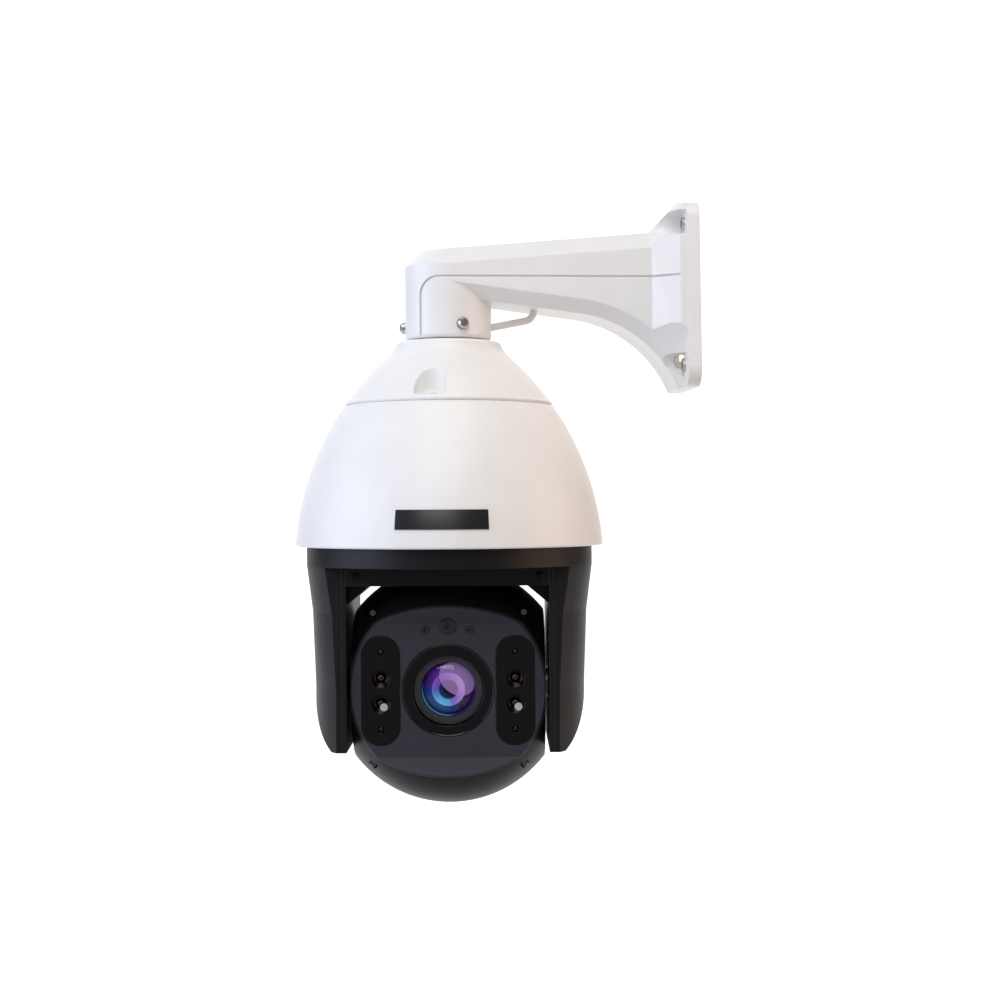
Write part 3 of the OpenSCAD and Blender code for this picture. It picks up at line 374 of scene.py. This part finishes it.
pocket_radius = 11 * mm
pocket_wall = 2.4 * mm
pocket_foot = 1 * mm
pocket_floor = seam_z + 4.2 * mm
pocket_out = flank(pocket_floor) - 4.6 * mm
first_pocket = -90 - 13            # degrees: a little to the left of straight ahead
well_top = cap_top + 9 * mm
for turn in [math.radians(first_pocket + 120 * i) for i in range(3)]:
    middle = pan_axis + Vector((math.cos(turn), math.sin(turn), 0)) * pocket_out
    boss = revolve("boss", [(0, seam_z), (pocket_radius + pocket_wall, seam_z),
                            (pocket_radius + pocket_wall, cap_top), (0, cap_top)], 64, middle)
    boss = combined("boss", boss, revolve("form", cap_solid, centre=pan_axis), "INTERSECT")
    cap_shell = combined("cap", cap_shell, boss, "UNION")
    well = revolve("well", [(0, pocket_floor), (pocket_radius - pocket_foot, pocket_floor)]
                   + arc(pocket_radius - pocket_foot, pocket_floor + pocket_foot, pocket_foot, -90, 0, 4)
                   + [(pocket_radius, well_top), (0, well_top)], 96, middle)
    cap_shell = combined("cap", cap_shell, well, "DIFFERENCE")
cap_piece = new_piece("upper_cap_shell", rounded("upper_cap_shell", cap_shell, 0.45), white_coat,
                      "bracket_and_dome")
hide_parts("upper_cap")

# ---- Sun shield ----
# The shield is a second drawn shell that shades the housing, open at the bottom with a rolled rim.
# It meets the cap at a fine seam, and carries the same coat.

shield_wall = 2.5 * mm
shield_top = seam_z - 0.05 * mm
shield_round = 1.1 * mm
shield_lip = 55 * mm
lip_under = shield_top - 3 * mm
rim_round = shield_wall / 2
levels = [shield_top - shield_round + (rim_z + 2 * mm - shield_top + shield_round) * i / 80
          for i in range(81)]
shield_outer = (arc(flank(shield_top) - 1.4 * mm, shield_top - shield_round, shield_round, 90, 0, 6)
                + [(flank(z), z) for z in levels]
                + arc(flank(rim_z) - rim_round, rim_z + rim_round, rim_round, 0, -180, 10))
shield_inner = ([(flank(z, shield_wall * 1.06), z) for z in reversed(levels[:-1])]
                + [(shield_lip, lip_under), (shield_lip, shield_top)])
shield_mesh = revolve("sun_shield_shell", shield_outer + shield_inner, 288, pan_axis)
shield_mesh.shade_smooth()
shield_mesh.set_sharp_from_angle(angle=math.radians(40))
shield_piece = new_piece("sun_shield_shell", shield_mesh, white_coat, "bracket_and_dome")
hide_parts("sun_shield")


# The name strip is a printed polycarbonate label, left blank here.
# It is stuck on the shield's front, so its film has a little gloss.


def printed_film():
    """Polycarbonate film with a black print behind it: even colour under a soft gloss."""
    material, tree = new_material("printed_film_black")
    place = add(tree, "TexCoord").outputs["Object"]
    print_dots = add(tree, "TexNoise", {"Scale": grain(0.6), "Detail": 2}, {"Vector": place})
    tone = add(tree, "ValToRGB", links={"Fac": print_dots.outputs["Fac"]},
               stops=[(0, "#0C0D10"), (1, "#131418")])
    edge = add(tree, "Bevel", {"Radius": 0.3 * mm}, samples=6)
    shader = add(tree, "BsdfPrincipled", {"Roughness": 0.28, "IOR": 1.58},
                 {"Base Color": tone.outputs[0], "Normal": edge.outputs[0]})
    add(tree, "OutputMaterial", links={"Surface": shader.outputs[0]})
    return material


finish("name_strip", printed_film())

# ---- Housing and drives ----
# Inside the shield a moulded housing carries the base plate, the boards and the pan drive.
# It is plain black ABS with a spark-eroded texture, the same plastic as the yoke and the ball.


def textured_abs(name, dark, light, roughness, texture_mm):
    """ABS from a spark-eroded mould: fine even texture that spreads each highlight."""
    material, tree = new_material(name)
    place = add(tree, "TexCoord").outputs["Object"]
    texture = add(tree, "TexNoise", {"Scale": grain(texture_mm), "Detail": 3}, {"Vector": place})
    flow = add(tree, "TexNoise", {"Scale": grain(35), "Detail": 2}, {"Vector": place})
    edge = add(tree, "Bevel", {"Radius": 0.9 * mm}, samples=8)
    skin = add(tree, "Bump", {"Strength": 0.16, "Distance": 0.06 * mm},
               {"Height": texture.outputs["Fac"], "Normal": edge.outputs[0]})
    tone = add(tree, "ValToRGB", links={"Fac": flow.outputs["Fac"]},
               stops=[(0, dark), (1, light)])
    gloss = add(tree, "MapRange", {"To Min": roughness - 0.05, "To Max": roughness + 0.05},
                {"Value": flow.outputs["Fac"]})
    shader = add(tree, "BsdfPrincipled", {"IOR": 1.54, "Specular IOR Level": 0.25},
                 {"Base Color": tone.outputs[0], "Roughness": gloss.outputs[0],
                  "Normal": skin.outputs[0]})
    add(tree, "OutputMaterial", links={"Surface": shader.outputs[0]})
    return material


black_abs = textured_abs("textured_abs_black", "#0B0B0D", "#101013", 0.46, 0.5)
for name in ("inner_housing", "slip_ring_stator", "turntable", "yoke_bridge", "arm_frame_left",
             "arm_frame_right", "arm_cover_left", "arm_cover_right", "rear_shell", "front_bezel"):
    finish(name, black_abs)


# Bearings are ground steel, the brackets are zinc-plated sheet, and pinions and contacts are brass.
# Motors are dipped in black enamel, and the boards have a green solder mask.
# The bridge's screws are black oxide, and their near-black colour is also painted shade from under the
# bridge. The face plate's screws are nickel plated, painted a darker grey as painted shade in their
# counterbores.


def plain_metal(name, colour, roughness, mark_mm):
    """Bare machined metal with fine tool marks in its gloss."""
    material, tree = new_material(name)
    place = add(tree, "TexCoord").outputs["Object"]
    marks = add(tree, "TexNoise", {"Scale": grain(mark_mm), "Detail": 3}, {"Vector": place})
    gloss = add(tree, "MapRange", {"To Min": roughness - 0.08, "To Max": roughness + 0.08},
                {"Value": marks.outputs["Fac"]})
    shader = add(tree, "BsdfPrincipled", {"Base Color": to_linear(colour), "Metallic": 1.0},
                 {"Roughness": gloss.outputs[0]})
    add(tree, "OutputMaterial", links={"Surface": shader.outputs[0]})
    return material


def motor_enamel():
    """Dipped black enamel over steel laminations: smooth, with a soft gloss."""
    material, tree = new_material("dipped_enamel_black")
    place = add(tree, "TexCoord").outputs["Object"]
    sag = add(tree, "TexNoise", {"Scale": grain(6), "Detail": 2}, {"Vector": place})
    gloss = add(tree, "MapRange", {"To Min": 0.25, "To Max": 0.4}, {"Value": sag.outputs["Fac"]})
    shader = add(tree, "BsdfPrincipled", {"Base Color": to_linear("#141416"), "IOR": 1.5},
                 {"Roughness": gloss.outputs[0]})
    add(tree, "OutputMaterial", links={"Surface": shader.outputs[0]})
    return material


def solder_mask():
    """Green solder mask on glass laminate: glossy, with the weave just showing."""
    material, tree = new_material("green_solder_mask")
    place = add(tree, "TexCoord").outputs["Object"]
    weave = add(tree, "TexNoise", {"Scale": grain(1.2), "Detail": 2}, {"Vector": place})
    tone = add(tree, "ValToRGB", links={"Fac": weave.outputs["Fac"]},
               stops=[(0, "#0C3B23"), (1, "#12502F")])
    shader = add(tree, "BsdfPrincipled", {"Roughness": 0.3, "IOR": 1.5},
                 {"Base Color": tone.outputs[0]})
    add(tree, "OutputMaterial", links={"Surface": shader.outputs[0]})
    return material


for name in ("pan_bearing", "tilt_bearings"):
    finish(name, plain_metal("ground_bearing_steel_" + name, "#BDBDBD", 0.24, 0.4))
for name in ("motor_bracket", "head_frame"):
    finish(name, plain_metal("zinc_plated_sheet_" + name, "#C3C4C2", 0.36, 2.5))
for name in ("pan_pinion", "tilt_pinion", "slip_ring_rotor", "board_standoffs"):
    finish(name, plain_metal("turned_brass_" + name, "#C9A45A", 0.28, 0.3))
for name in ("pan_belt", "tilt_belt"):
    finish(name, black_rubber)
for name in ("pan_motor", "tilt_motor"):
    finish(name, motor_enamel())
# Both screw colours are partly their finish and partly painted shade.
finish("bridge_screws", plain_metal("black_oxide_and_painted_shade", "#2C2C30", 0.34, 0.5))
finish("bezel_screws", plain_metal("nickel_with_painted_shade", "#7C7A78", 0.3, 0.5))
board_green = solder_mask()
for name in ("main_board", "power_board", "ir_boards"):
    finish(name, board_green)

# ---- Face plate ----
# The face is a dark grey moulding let into the ball, flat in the middle with a sloped brow and chin.
# Its mould is finely textured, so it is a shade lighter and softer than the black ball.

finish("face_plate", textured_abs("textured_abs_grey", "#2F2F37", "#373740", 0.46, 0.45))

tilt = next(j for j in frame["joints"] if j["name"] == "tilt")
head_turn = math.atan2(tilt["axis"][1], tilt["axis"][0])
head_place = Matrix.Translation(tilt["pos_m"]) @ Matrix.Rotation(head_turn, 4, "Z")
face_y = -53 * mm


def on_head(name, mesh, material, smooth_below=40):
    """A piece drawn in the head's own axes: x across, y to the back, z up, from the tilt axis."""
    mesh.shade_smooth()
    mesh.set_sharp_from_angle(angle=math.radians(smooth_below))
    piece = bpy.data.objects.new(name, mesh)
    bpy.context.scene.collection.objects.link(piece)
    mesh.materials.clear()
    mesh.materials.append(material)
    piece.matrix_world = head_place
    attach(piece, "head")
    return piece


def turned_y(name, profile, x=0.0, z=0.0, steps=128):
    """A closed profile of (radius, y) turned about a line along y, through x and z."""
    mesh = revolve(name, profile, steps)
    mesh.transform(Matrix(((1, 0, 0, x), (0, 0, 1, 0), (0, -1, 0, z), (0, 0, 0, 1))))
    return mesh


# ---- Camera window ----
# The window is clear glass behind a wide border of black gloss paint, with a fine groove round it.
# The paint is on the inner face, so the border looks deep and mirror-smooth.


def gloss_black(name):
    """Polished acrylic or back-painted glass: near black, with a mirror-like top surface."""
    material, tree = new_material(name)
    place = add(tree, "TexCoord").outputs["Object"]
    wipe = add(tree, "TexNoise", {"Scale": grain(14), "Detail": 3}, {"Vector": place})
    gloss = add(tree, "MapRange", {"To Min": 0.03, "To Max": 0.1}, {"Value": wipe.outputs["Fac"]})
    edge = add(tree, "Bevel", {"Radius": 0.35 * mm}, samples=6)
    shader = add(tree, "BsdfPrincipled", {"Base Color": to_linear("#060607"), "IOR": 1.49},
                 {"Roughness": gloss.outputs[0], "Normal": edge.outputs[0]})
    add(tree, "OutputMaterial", links={"Surface": shader.outputs[0]})
    return material


def window_glass():
    """Thin clear glass with an anti-reflection coat, so what is behind it stays dark and sharp."""
    material, tree = new_material("clear_window_glass")
    shader = add(tree, "BsdfPrincipled",
                 {"Base Color": to_linear("#0A0A0C"), "Roughness": 0.02, "IOR": 1.5, "Alpha": 0.06})
    add(tree, "OutputMaterial", links={"Surface": shader.outputs[0]})
    return material


# Radius and depth behind the face, in mm, round the border's section.
border_section = [(24.5, 4), (32, 4), (32, 0.35), (31.8, 0.1), (31.4, 0.02), (31, 0.12),
                  (30.8, 0.32), (24.7, 0.32), (24.5, 0.5)]
border = turned_y("window_border_ring", [(r * mm, face_y + depth * mm) for r, depth in border_section],
                  steps=192)
border_piece = on_head("window_border_ring", border, gloss_black("back_painted_glass"),
                       34)
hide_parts("window_border")
finish("lens_window", window_glass())

# ---- Infrared windows ----
# Each side has one black acrylic window with a rounded edge, and emitters behind its holes.
# The big ones sit in black-chromed reflector cups, and the small ones are bare domed emitters; the white
# disc in each lower big cup is a painted reflection.

ir_x = 46.2 * mm                   # to the middle of a window
ir_half = 13.45 * mm               # half its width, and the radius of its ends
ir_straight = 24.5 * mm            # half the length of its straight sides
ir_big_z = 8.8 * mm
ir_big_hole = 6.7 * mm
ir_small_z = 26.5 * mm
ir_small_hole = 2.4 * mm
bay_radius = 33.25 * mm            # the round bay of the camera window, which cuts into both
pane_front = face_y - 0.2 * mm
pane_back = face_y + 3 * mm
plug_front = face_y - 5 * mm
plug_back = face_y + 9 * mm


def prism_y(name, outline, front, back):
    """A closed outline of (x, z) drawn out along y."""
    form = bmesh.new()
    ends = [[form.verts.new((x, y, z)) for x, z in outline] for y in (front, back)]
    for i in range(len(outline)):
        j = (i + 1) % len(outline)
        form.faces.new([ends[0][i], ends[0][j], ends[1][j], ends[1][i]])
    form.faces.new(ends[0])
    form.faces.new(ends[1])
    bmesh.ops.recalc_face_normals(form, faces=form.faces)
    mesh = bpy.data.meshes.new(name)
    form.to_mesh(mesh)
    form.free()
    return mesh


def gathered(name, meshes):
    """Several meshes as one."""
    form = bmesh.new()
    for mesh in meshes:
        form.from_mesh(mesh)
    mesh = bpy.data.meshes.new(name)
    form.to_mesh(mesh)
    form.free()
    return mesh


def plug(radius, x=0.0, z=0.0, steps=192):
    """A round tool that passes right through a pane."""
    section = [(0, plug_front), (radius, plug_front), (radius, plug_back), (0, plug_back)]
    return turned_y("plug", section, x, z, steps)


ir_panes = []
for side in (-1, 1):
    outline = (arc(side * ir_x, ir_straight, ir_half, 0, 180, 32)
               + arc(side * ir_x, -ir_straight, ir_half, 180, 360, 32))
    pane = prism_y("pane", outline, pane_front, pane_back)
    pane = combined("pane", pane, plug(bay_radius), "DIFFERENCE")
    for z, radius in ((ir_big_z, ir_big_hole), (-ir_big_z, ir_big_hole),
                      (ir_small_z, ir_small_hole), (-ir_small_z, ir_small_hole)):
        pane = combined("pane", pane, plug(radius, side * ir_x, z, 64), "DIFFERENCE")
    ir_panes.append(rounded("pane", pane, 0.45))
dark_acrylic = gloss_black("dark_acrylic")
panes = on_head("ir_panes", gathered("ir_panes", ir_panes), dark_acrylic, 10)
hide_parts("ir_windows")

# The reflectors, painted reflection discs and domes are drawn as radius and depth behind the face, in
# mm.
cup_depth = 2.95
cup_section = ([(0, cup_depth), (6.65, cup_depth), (6.65, 0.2)]
               + [(6.6 - 4 * (i / 10) ** 0.6, cup_depth + (-2.7 + 2.2 * i / 10)) for i in range(11)]
               + [(0, 2.45)])
reflection_disc_section = [(0, 2.2), (2.7, 2.2), (2.7, 0.25), (2.5, 0.05), (0, 0.05)]
# Each lower big cup gets a white disc, offset the same way on both sides: a painted reflection, not a
# part.
reflection_disc_x = 2.1 * mm
reflection_disc_z = -ir_big_z - 2.6 * mm


def dome_section(radius, foot, base, height, first):
    """A domed emitter: a foot at one depth, then a curve from a base depth and a first angle."""
    turns = [math.radians(a) for a in range(first, 90, 10)]
    return ([(0, foot), (radius, foot)]
            + [(radius * math.cos(t), base - height * math.sin(t)) for t in turns]
            + [(0, base - height)])


def behind_face(name, section, x, z, steps):
    """A section in mm turned about a line through x and z, with its depths taken from the face."""
    return turned_y(name, [(r * mm, face_y + depth * mm) for r, depth in section], x, z, steps)


big_dome = dome_section(2.6, foot=2.4, base=2.4, height=2.1, first=10)
small_dome = dome_section(2.3, foot=cup_depth, base=2.2, height=2.0, first=0)
cups = []
domes = []
reflection_discs = []
for x in (-ir_x, ir_x):
    for z in (ir_big_z, -ir_big_z):
        cups.append(behind_face("cup", cup_section, x, z, 96))
        domes.append(behind_face("dome", big_dome, x, z, 48))
    reflection_discs.append(behind_face("pad", reflection_disc_section, x + reflection_disc_x, reflection_disc_z, 48))
    for z in (ir_small_z, -ir_small_z):
        domes.append(behind_face("dome", small_dome, x, z, 48))
reflectors = on_head("ir_cups", gathered("ir_cups", cups),
                     plain_metal("black_chrome", "#221C18", 0.16, 0.8))
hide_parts("ir_lenses")
on_head("ir_domes", gathered("ir_domes", domes), gloss_black("dark_epoxy"), 60)


def painted_reflection_discs():
    """White discs painted in as the reflection of a light on the camera's side: pale, with a fine grain.
    """
    material, tree = new_material("painted_reflection_white")
    place = add(tree, "TexCoord").outputs["Object"]
    fine_speckle = add(tree, "TexNoise", {"Scale": grain(0.7), "Detail": 1}, {"Vector": place})
    tone = add(tree, "ValToRGB", links={"Fac": fine_speckle.outputs["Fac"]},
               stops=[(0, "#A2A3AE"), (1, "#C6C6D0")])
    shader = add(tree, "BsdfPrincipled", {"Roughness": 0.35, "IOR": 1.41},
                 {"Base Color": tone.outputs[0]})
    add(tree, "OutputMaterial", links={"Surface": shader.outputs[0]})
    return material


on_head("ir_painted_reflection_discs", gathered("ir_painted_reflection_discs", reflection_discs), painted_reflection_discs())
finish("light_sensor", textured_abs("textured_abs_sensor", "#26262C", "#2C2C33", 0.4, 0.6))

# ---- Lens ----
# The lens barrel is black anodised, and the front element is ground glass with a multi-layer coat.
# The coat throws back blue, violet and pink rings, one from each surface inside the lens; here these are
# painted reflections in the front element's colour and glow.

camera_black = textured_abs("textured_abs_camera", "#202124", "#292A2E", 0.5, 0.5)
for name in ("camera_body", "zoom_group", "focus_group"):
    finish(name, camera_black)
finish("lens_barrel", textured_abs("matt_anodised_black", "#3A383C", "#424044", 0.6, 0.5))


# Painted reflections: what each surface throws back, painted round the lens from its left by way of the
# bottom.
lens_radius = 19 * mm
outer_painted_reflection = [(0, "#1A2A86"), (0.07, "#14468A"), (0.2, "#123E80"), (0.28, "#18226A"),
              (0.36, "#1E0A44"), (0.5, "#2E1058"), (0.62, "#3C166C"), (0.75, "#34126E"),
              (0.86, "#561A92"), (0.95, "#3A1474"), (1, "#1A2A86")]
inner_painted_reflection = [(0, "#6E64CC"), (0.07, "#5A9CE2"), (0.14, "#6AC0F6"), (0.25, "#66B8F2"),
              (0.3, "#7A7ADA"), (0.38, "#A986E6"), (0.5, "#DAA4F8"), (0.6, "#E2B4FA"),
              (0.75, "#9C82E4"), (0.86, "#8E4AC8"), (1, "#6E64CC")]
rim_painted_reflection = [(0, "#3C7CC8"), (0.06, "#7CCBFA"), (0.24, "#7CCBFA"), (0.29, "#3A3CB0"),
            (0.36, "#5A1EA0"), (0.55, "#6A22AC"), (0.66, "#3A1272"), (0.9, "#200A44"),
            (0.96, "#1C1450"), (1, "#3C7CC8")]

# Where each painted reflection lies, and how bright it is painted, from the middle of the lens to its
# edge: dark in the middle and dimmer at the very edge.
inner_reflection_band = [(0.335, "#000000"), (0.355, "#FFFFFF"), (0.595, "#FFFFFF"), (0.615, "#000000")]
rim_reflection_band = [(0.93, "#000000"), (0.945, "#FFFFFF"), (0.97, "#FFFFFF"), (0.98, "#000000")]
painted_reflection_strength = [(0, "#000000"), (0.13, "#303030"), (0.33, "#C8C8C8"), (0.66, "#FFFFFF"),
              (0.88, "#B4B4B4"), (0.98, "#D0D0D0"), (1, "#909090")]


def glass_with_painted_reflections():
    """Multi-coated glass: dark, with painted reflections of its inner surfaces as coloured rings, a
    painted sheen and a faint glow.
    """
    material, tree = new_material("coated_glass_painted_reflections")
    place = add(tree, "TexCoord").outputs["Object"]
    parts = add(tree, "SeparateXYZ", links={"Vector": place}).outputs
    flat = add(tree, "CombineXYZ", links={"X": parts["X"], "Y": parts["Z"]}).outputs[0]
    length = add(tree, "VectorMath", links={"Vector": flat}, operation="LENGTH").outputs["Value"]
    reach = add(tree, "MapRange", {"From Max": lens_radius}, {"Value": length}).outputs[0]
    around = add(tree, "TexGradient", links={"Vector": flat}, gradient_type="RADIAL").outputs["Fac"]
    outer = add(tree, "ValToRGB", links={"Fac": around}, stops=outer_painted_reflection).outputs[0]
    inner = add(tree, "ValToRGB", links={"Fac": around}, stops=inner_painted_reflection).outputs[0]
    rim = add(tree, "ValToRGB", links={"Fac": around}, stops=rim_painted_reflection).outputs[0]
    ring = add(tree, "ValToRGB", links={"Fac": reach}, stops=inner_reflection_band).outputs[0]
    edge = add(tree, "ValToRGB", links={"Fac": reach}, stops=rim_reflection_band).outputs[0]
    depth = add(tree, "ValToRGB", links={"Fac": reach}, stops=painted_reflection_strength).outputs[0]
    # The painted reflection rings are laid over each other and dimmed by their painted strength.
    rings = add(tree, "Mix", links={0: ring, 6: outer, 7: inner}, data_type="RGBA").outputs[2]
    rings = add(tree, "Mix", links={0: edge, 6: rings, 7: rim}, data_type="RGBA").outputs[2]
    rings = add(tree, "Mix", {0: 1.0}, {6: rings, 7: depth}, data_type="RGBA",
                blend_type="MULTIPLY").outputs[2]
    # A painted sheen: a lilac ellipse of reflected light painted over the rings.
    painted_sheen_place = add(tree, "Mapping", {"Location": (5.8 * mm, 6.9 * mm, 0),
                                        "Scale": (13.6 * mm, 10.2 * mm, 1),
                                        "Rotation": (0, 0, math.radians(-39))},
                      {"Vector": flat}, vector_type="TEXTURE").outputs[0]
    painted_sheen_reach = add(tree, "VectorMath", links={"Vector": painted_sheen_place}, operation="LENGTH")
    painted_sheen = add(tree, "MapRange", {"From Min": 1.0, "From Max": 0.965, "To Max": 0.55},
                {"Value": painted_sheen_reach.outputs["Value"]}).outputs[0]
    colour = add(tree, "Mix", {7: to_linear("#B08CCC")}, {0: painted_sheen, 6: rings},
                 data_type="RGBA").outputs[2]
    # The painted reflections also glow a little, though the lens is no lamp.
    shader = add(tree, "BsdfPrincipled", {"Roughness": 0.04, "IOR": 1.6, "Emission Strength": 0.35},
                 {"Base Color": colour, "Emission Color": colour})
    add(tree, "OutputMaterial", links={"Surface": shader.outputs[0]})
    return material


sag = 3.2 * mm
lens_half = 18.95 * mm
lens_curve = (lens_half ** 2 + sag ** 2) / (2 * sag)
lens_front = face_y + 6 * mm
lens_back = lens_front + 7.9 * mm
lens_steps = 24
lens_profile = [(0, lens_back), (lens_half, lens_back)]
for i in range(lens_steps, -1, -1):
    across = lens_half * i / lens_steps
    lens_profile.append((across, lens_front + lens_curve - math.sqrt(lens_curve ** 2 - across ** 2)))
front_glass = on_head("front_element", turned_y("front_element", lens_profile, steps=160),
                      glass_with_painted_reflections())
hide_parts("front_lens")


def ir_cut_glass():
    """Cut filter: pale cyan glass that lets daylight through."""
    material, tree = new_material("cyan_filter_glass")
    place = add(tree, "TexCoord").outputs["Object"]
    coat = add(tree, "TexNoise", {"Scale": grain(8), "Detail": 1}, {"Vector": place})
    tone = add(tree, "ValToRGB", links={"Fac": coat.outputs["Fac"]},
               stops=[(0, "#8FC6D2"), (1, "#A6D8DE")])
    shader = add(tree, "BsdfPrincipled", {"Roughness": 0.04, "IOR": 1.52, "Alpha": 0.5},
                 {"Base Color": tone.outputs[0]})
    add(tree, "OutputMaterial", links={"Surface": shader.outputs[0]})
    return material


finish("filter_slide", ir_cut_glass())

# ---- Studio ----
# A sweep of white paper runs under and behind the unit, and it is lit from behind where it rises.
# Soft boxes stand left, right, above and in front. The left one is cool and the right one warm,
# and the white shells pick both up.


def sweep_paper():
    """Seamless paper: pale and matt, and lit from behind where it rises past the object."""
    material, tree = new_material("seamless_paper")
    place = add(tree, "TexCoord").outputs["Object"]
    fibre = add(tree, "TexNoise", {"Scale": grain(4), "Detail": 2}, {"Vector": place})
    tone = add(tree, "ValToRGB", links={"Fac": fibre.outputs["Fac"]},
               stops=[(0, "#C8C8C8"), (1, "#CCCCCC")])
    parts = add(tree, "SeparateXYZ", links={"Vector": place})
    back_light = add(tree, "MapRange", {"From Min": 0.1, "From Max": 0.32, "To Max": 0.85},
                     {"Value": parts.outputs["Y"]})
    shader = add(tree, "BsdfPrincipled", {"Roughness": 0.95, "Emission Color": to_linear("#FFFFFF")},
                 {"Base Color": tone.outputs[0], "Emission Strength": back_light.outputs[0]})
    add(tree, "OutputMaterial", links={"Surface": shader.outputs[0]})
    return material


floor_z = cad_bounds[0].z - 250 * mm
sweep_front = -1.0
sweep_rise = 1.2
sweep_bend = 1.0
sweep_height = 4.0
sweep_sides = (-1.7, 1.4)
sweep = bmesh.new()
sweep_points = [(sweep_front, floor_z)]
sweep_points += [(sweep_rise + sweep_bend * math.sin(math.radians(a)),
                  floor_z + sweep_bend - sweep_bend * math.cos(math.radians(a)))
                 for a in range(0, 91, 10)]
sweep_points += [(sweep_rise + sweep_bend, floor_z + sweep_height)]
sides = [[sweep.verts.new((x, y, z)) for y, z in sweep_points] for x in sweep_sides]
for i in range(len(sweep_points) - 1):
    sweep.faces.new([sides[0][i], sides[1][i], sides[1][i + 1], sides[0][i + 1]])
sweep_mesh = bpy.data.meshes.new("paper_sweep")
sweep.to_mesh(sweep_mesh)
sweep.free()
sweep_mesh.shade_smooth()
sweep_mesh.materials.append(sweep_paper())
paper = bpy.data.objects.new("paper_sweep", sweep_mesh)
bpy.context.scene.collection.objects.link(paper)

world = bpy.data.worlds.new("studio")
bpy.context.scene.world = world
world.use_nodes = True
fill = world.node_tree.nodes["Background"].inputs
fill["Color"].default_value = to_linear("#F4F6FA")
fill["Strength"].default_value = 0.2

centre = (cad_bounds[0] + cad_bounds[1]) / 2


def soft_box(name, place, size, power, colour):
    """A square soft box that faces the middle of the object."""
    lamp = bpy.data.lights.new(name, "AREA")
    lamp.shape = "SQUARE"
    lamp.size = size
    lamp.energy = power
    lamp.color = to_linear(colour)[:3]
    holder = bpy.data.objects.new(name, lamp)
    holder.location = centre + Vector(place)
    holder.rotation_euler = (-Vector(place)).to_track_quat("-Z", "Y").to_euler()
    bpy.context.scene.collection.objects.link(holder)


soft_box("left_box", (-1.7, -0.5, 0.15), 1.5, 20, "#DCE4FF")
soft_box("right_box", (1.7, -0.5, 0.1), 1.4, 13, "#FFD8BC")
soft_box("top_box", (-0.1, -0.8, 1.6), 1.3, 15, "#FFFDFA")
soft_box("front_box", (-0.4, -1.9, 1.2), 1.0, 11, "#FFFFFF")
bpy.context.scene.view_settings.view_transform = "Standard"

# ---- Camera ----
# The view looks level along a line 4 degrees off the wall's plane, from a little over a metre.
# A long lens keeps the dome's outline close to its true shape.

view_turn = math.radians(4)
view_roll = math.radians(0.35)
eye = Vector((-0.2191, -1.1527, -0.1445))
lens = bpy.data.cameras.new("view")
lens.lens = 57.7
lens.sensor_width = 36
camera = bpy.data.objects.new("view", lens)
camera.matrix_world = (Matrix.Translation(eye) @ Matrix.Rotation(-view_turn, 4, "Z")
                       @ Matrix.Rotation(math.pi / 2, 4, "X") @ Matrix.Rotation(-view_roll, 4, "Z"))
bpy.context.scene.collection.objects.link(camera)
bpy.context.scene.camera = camera
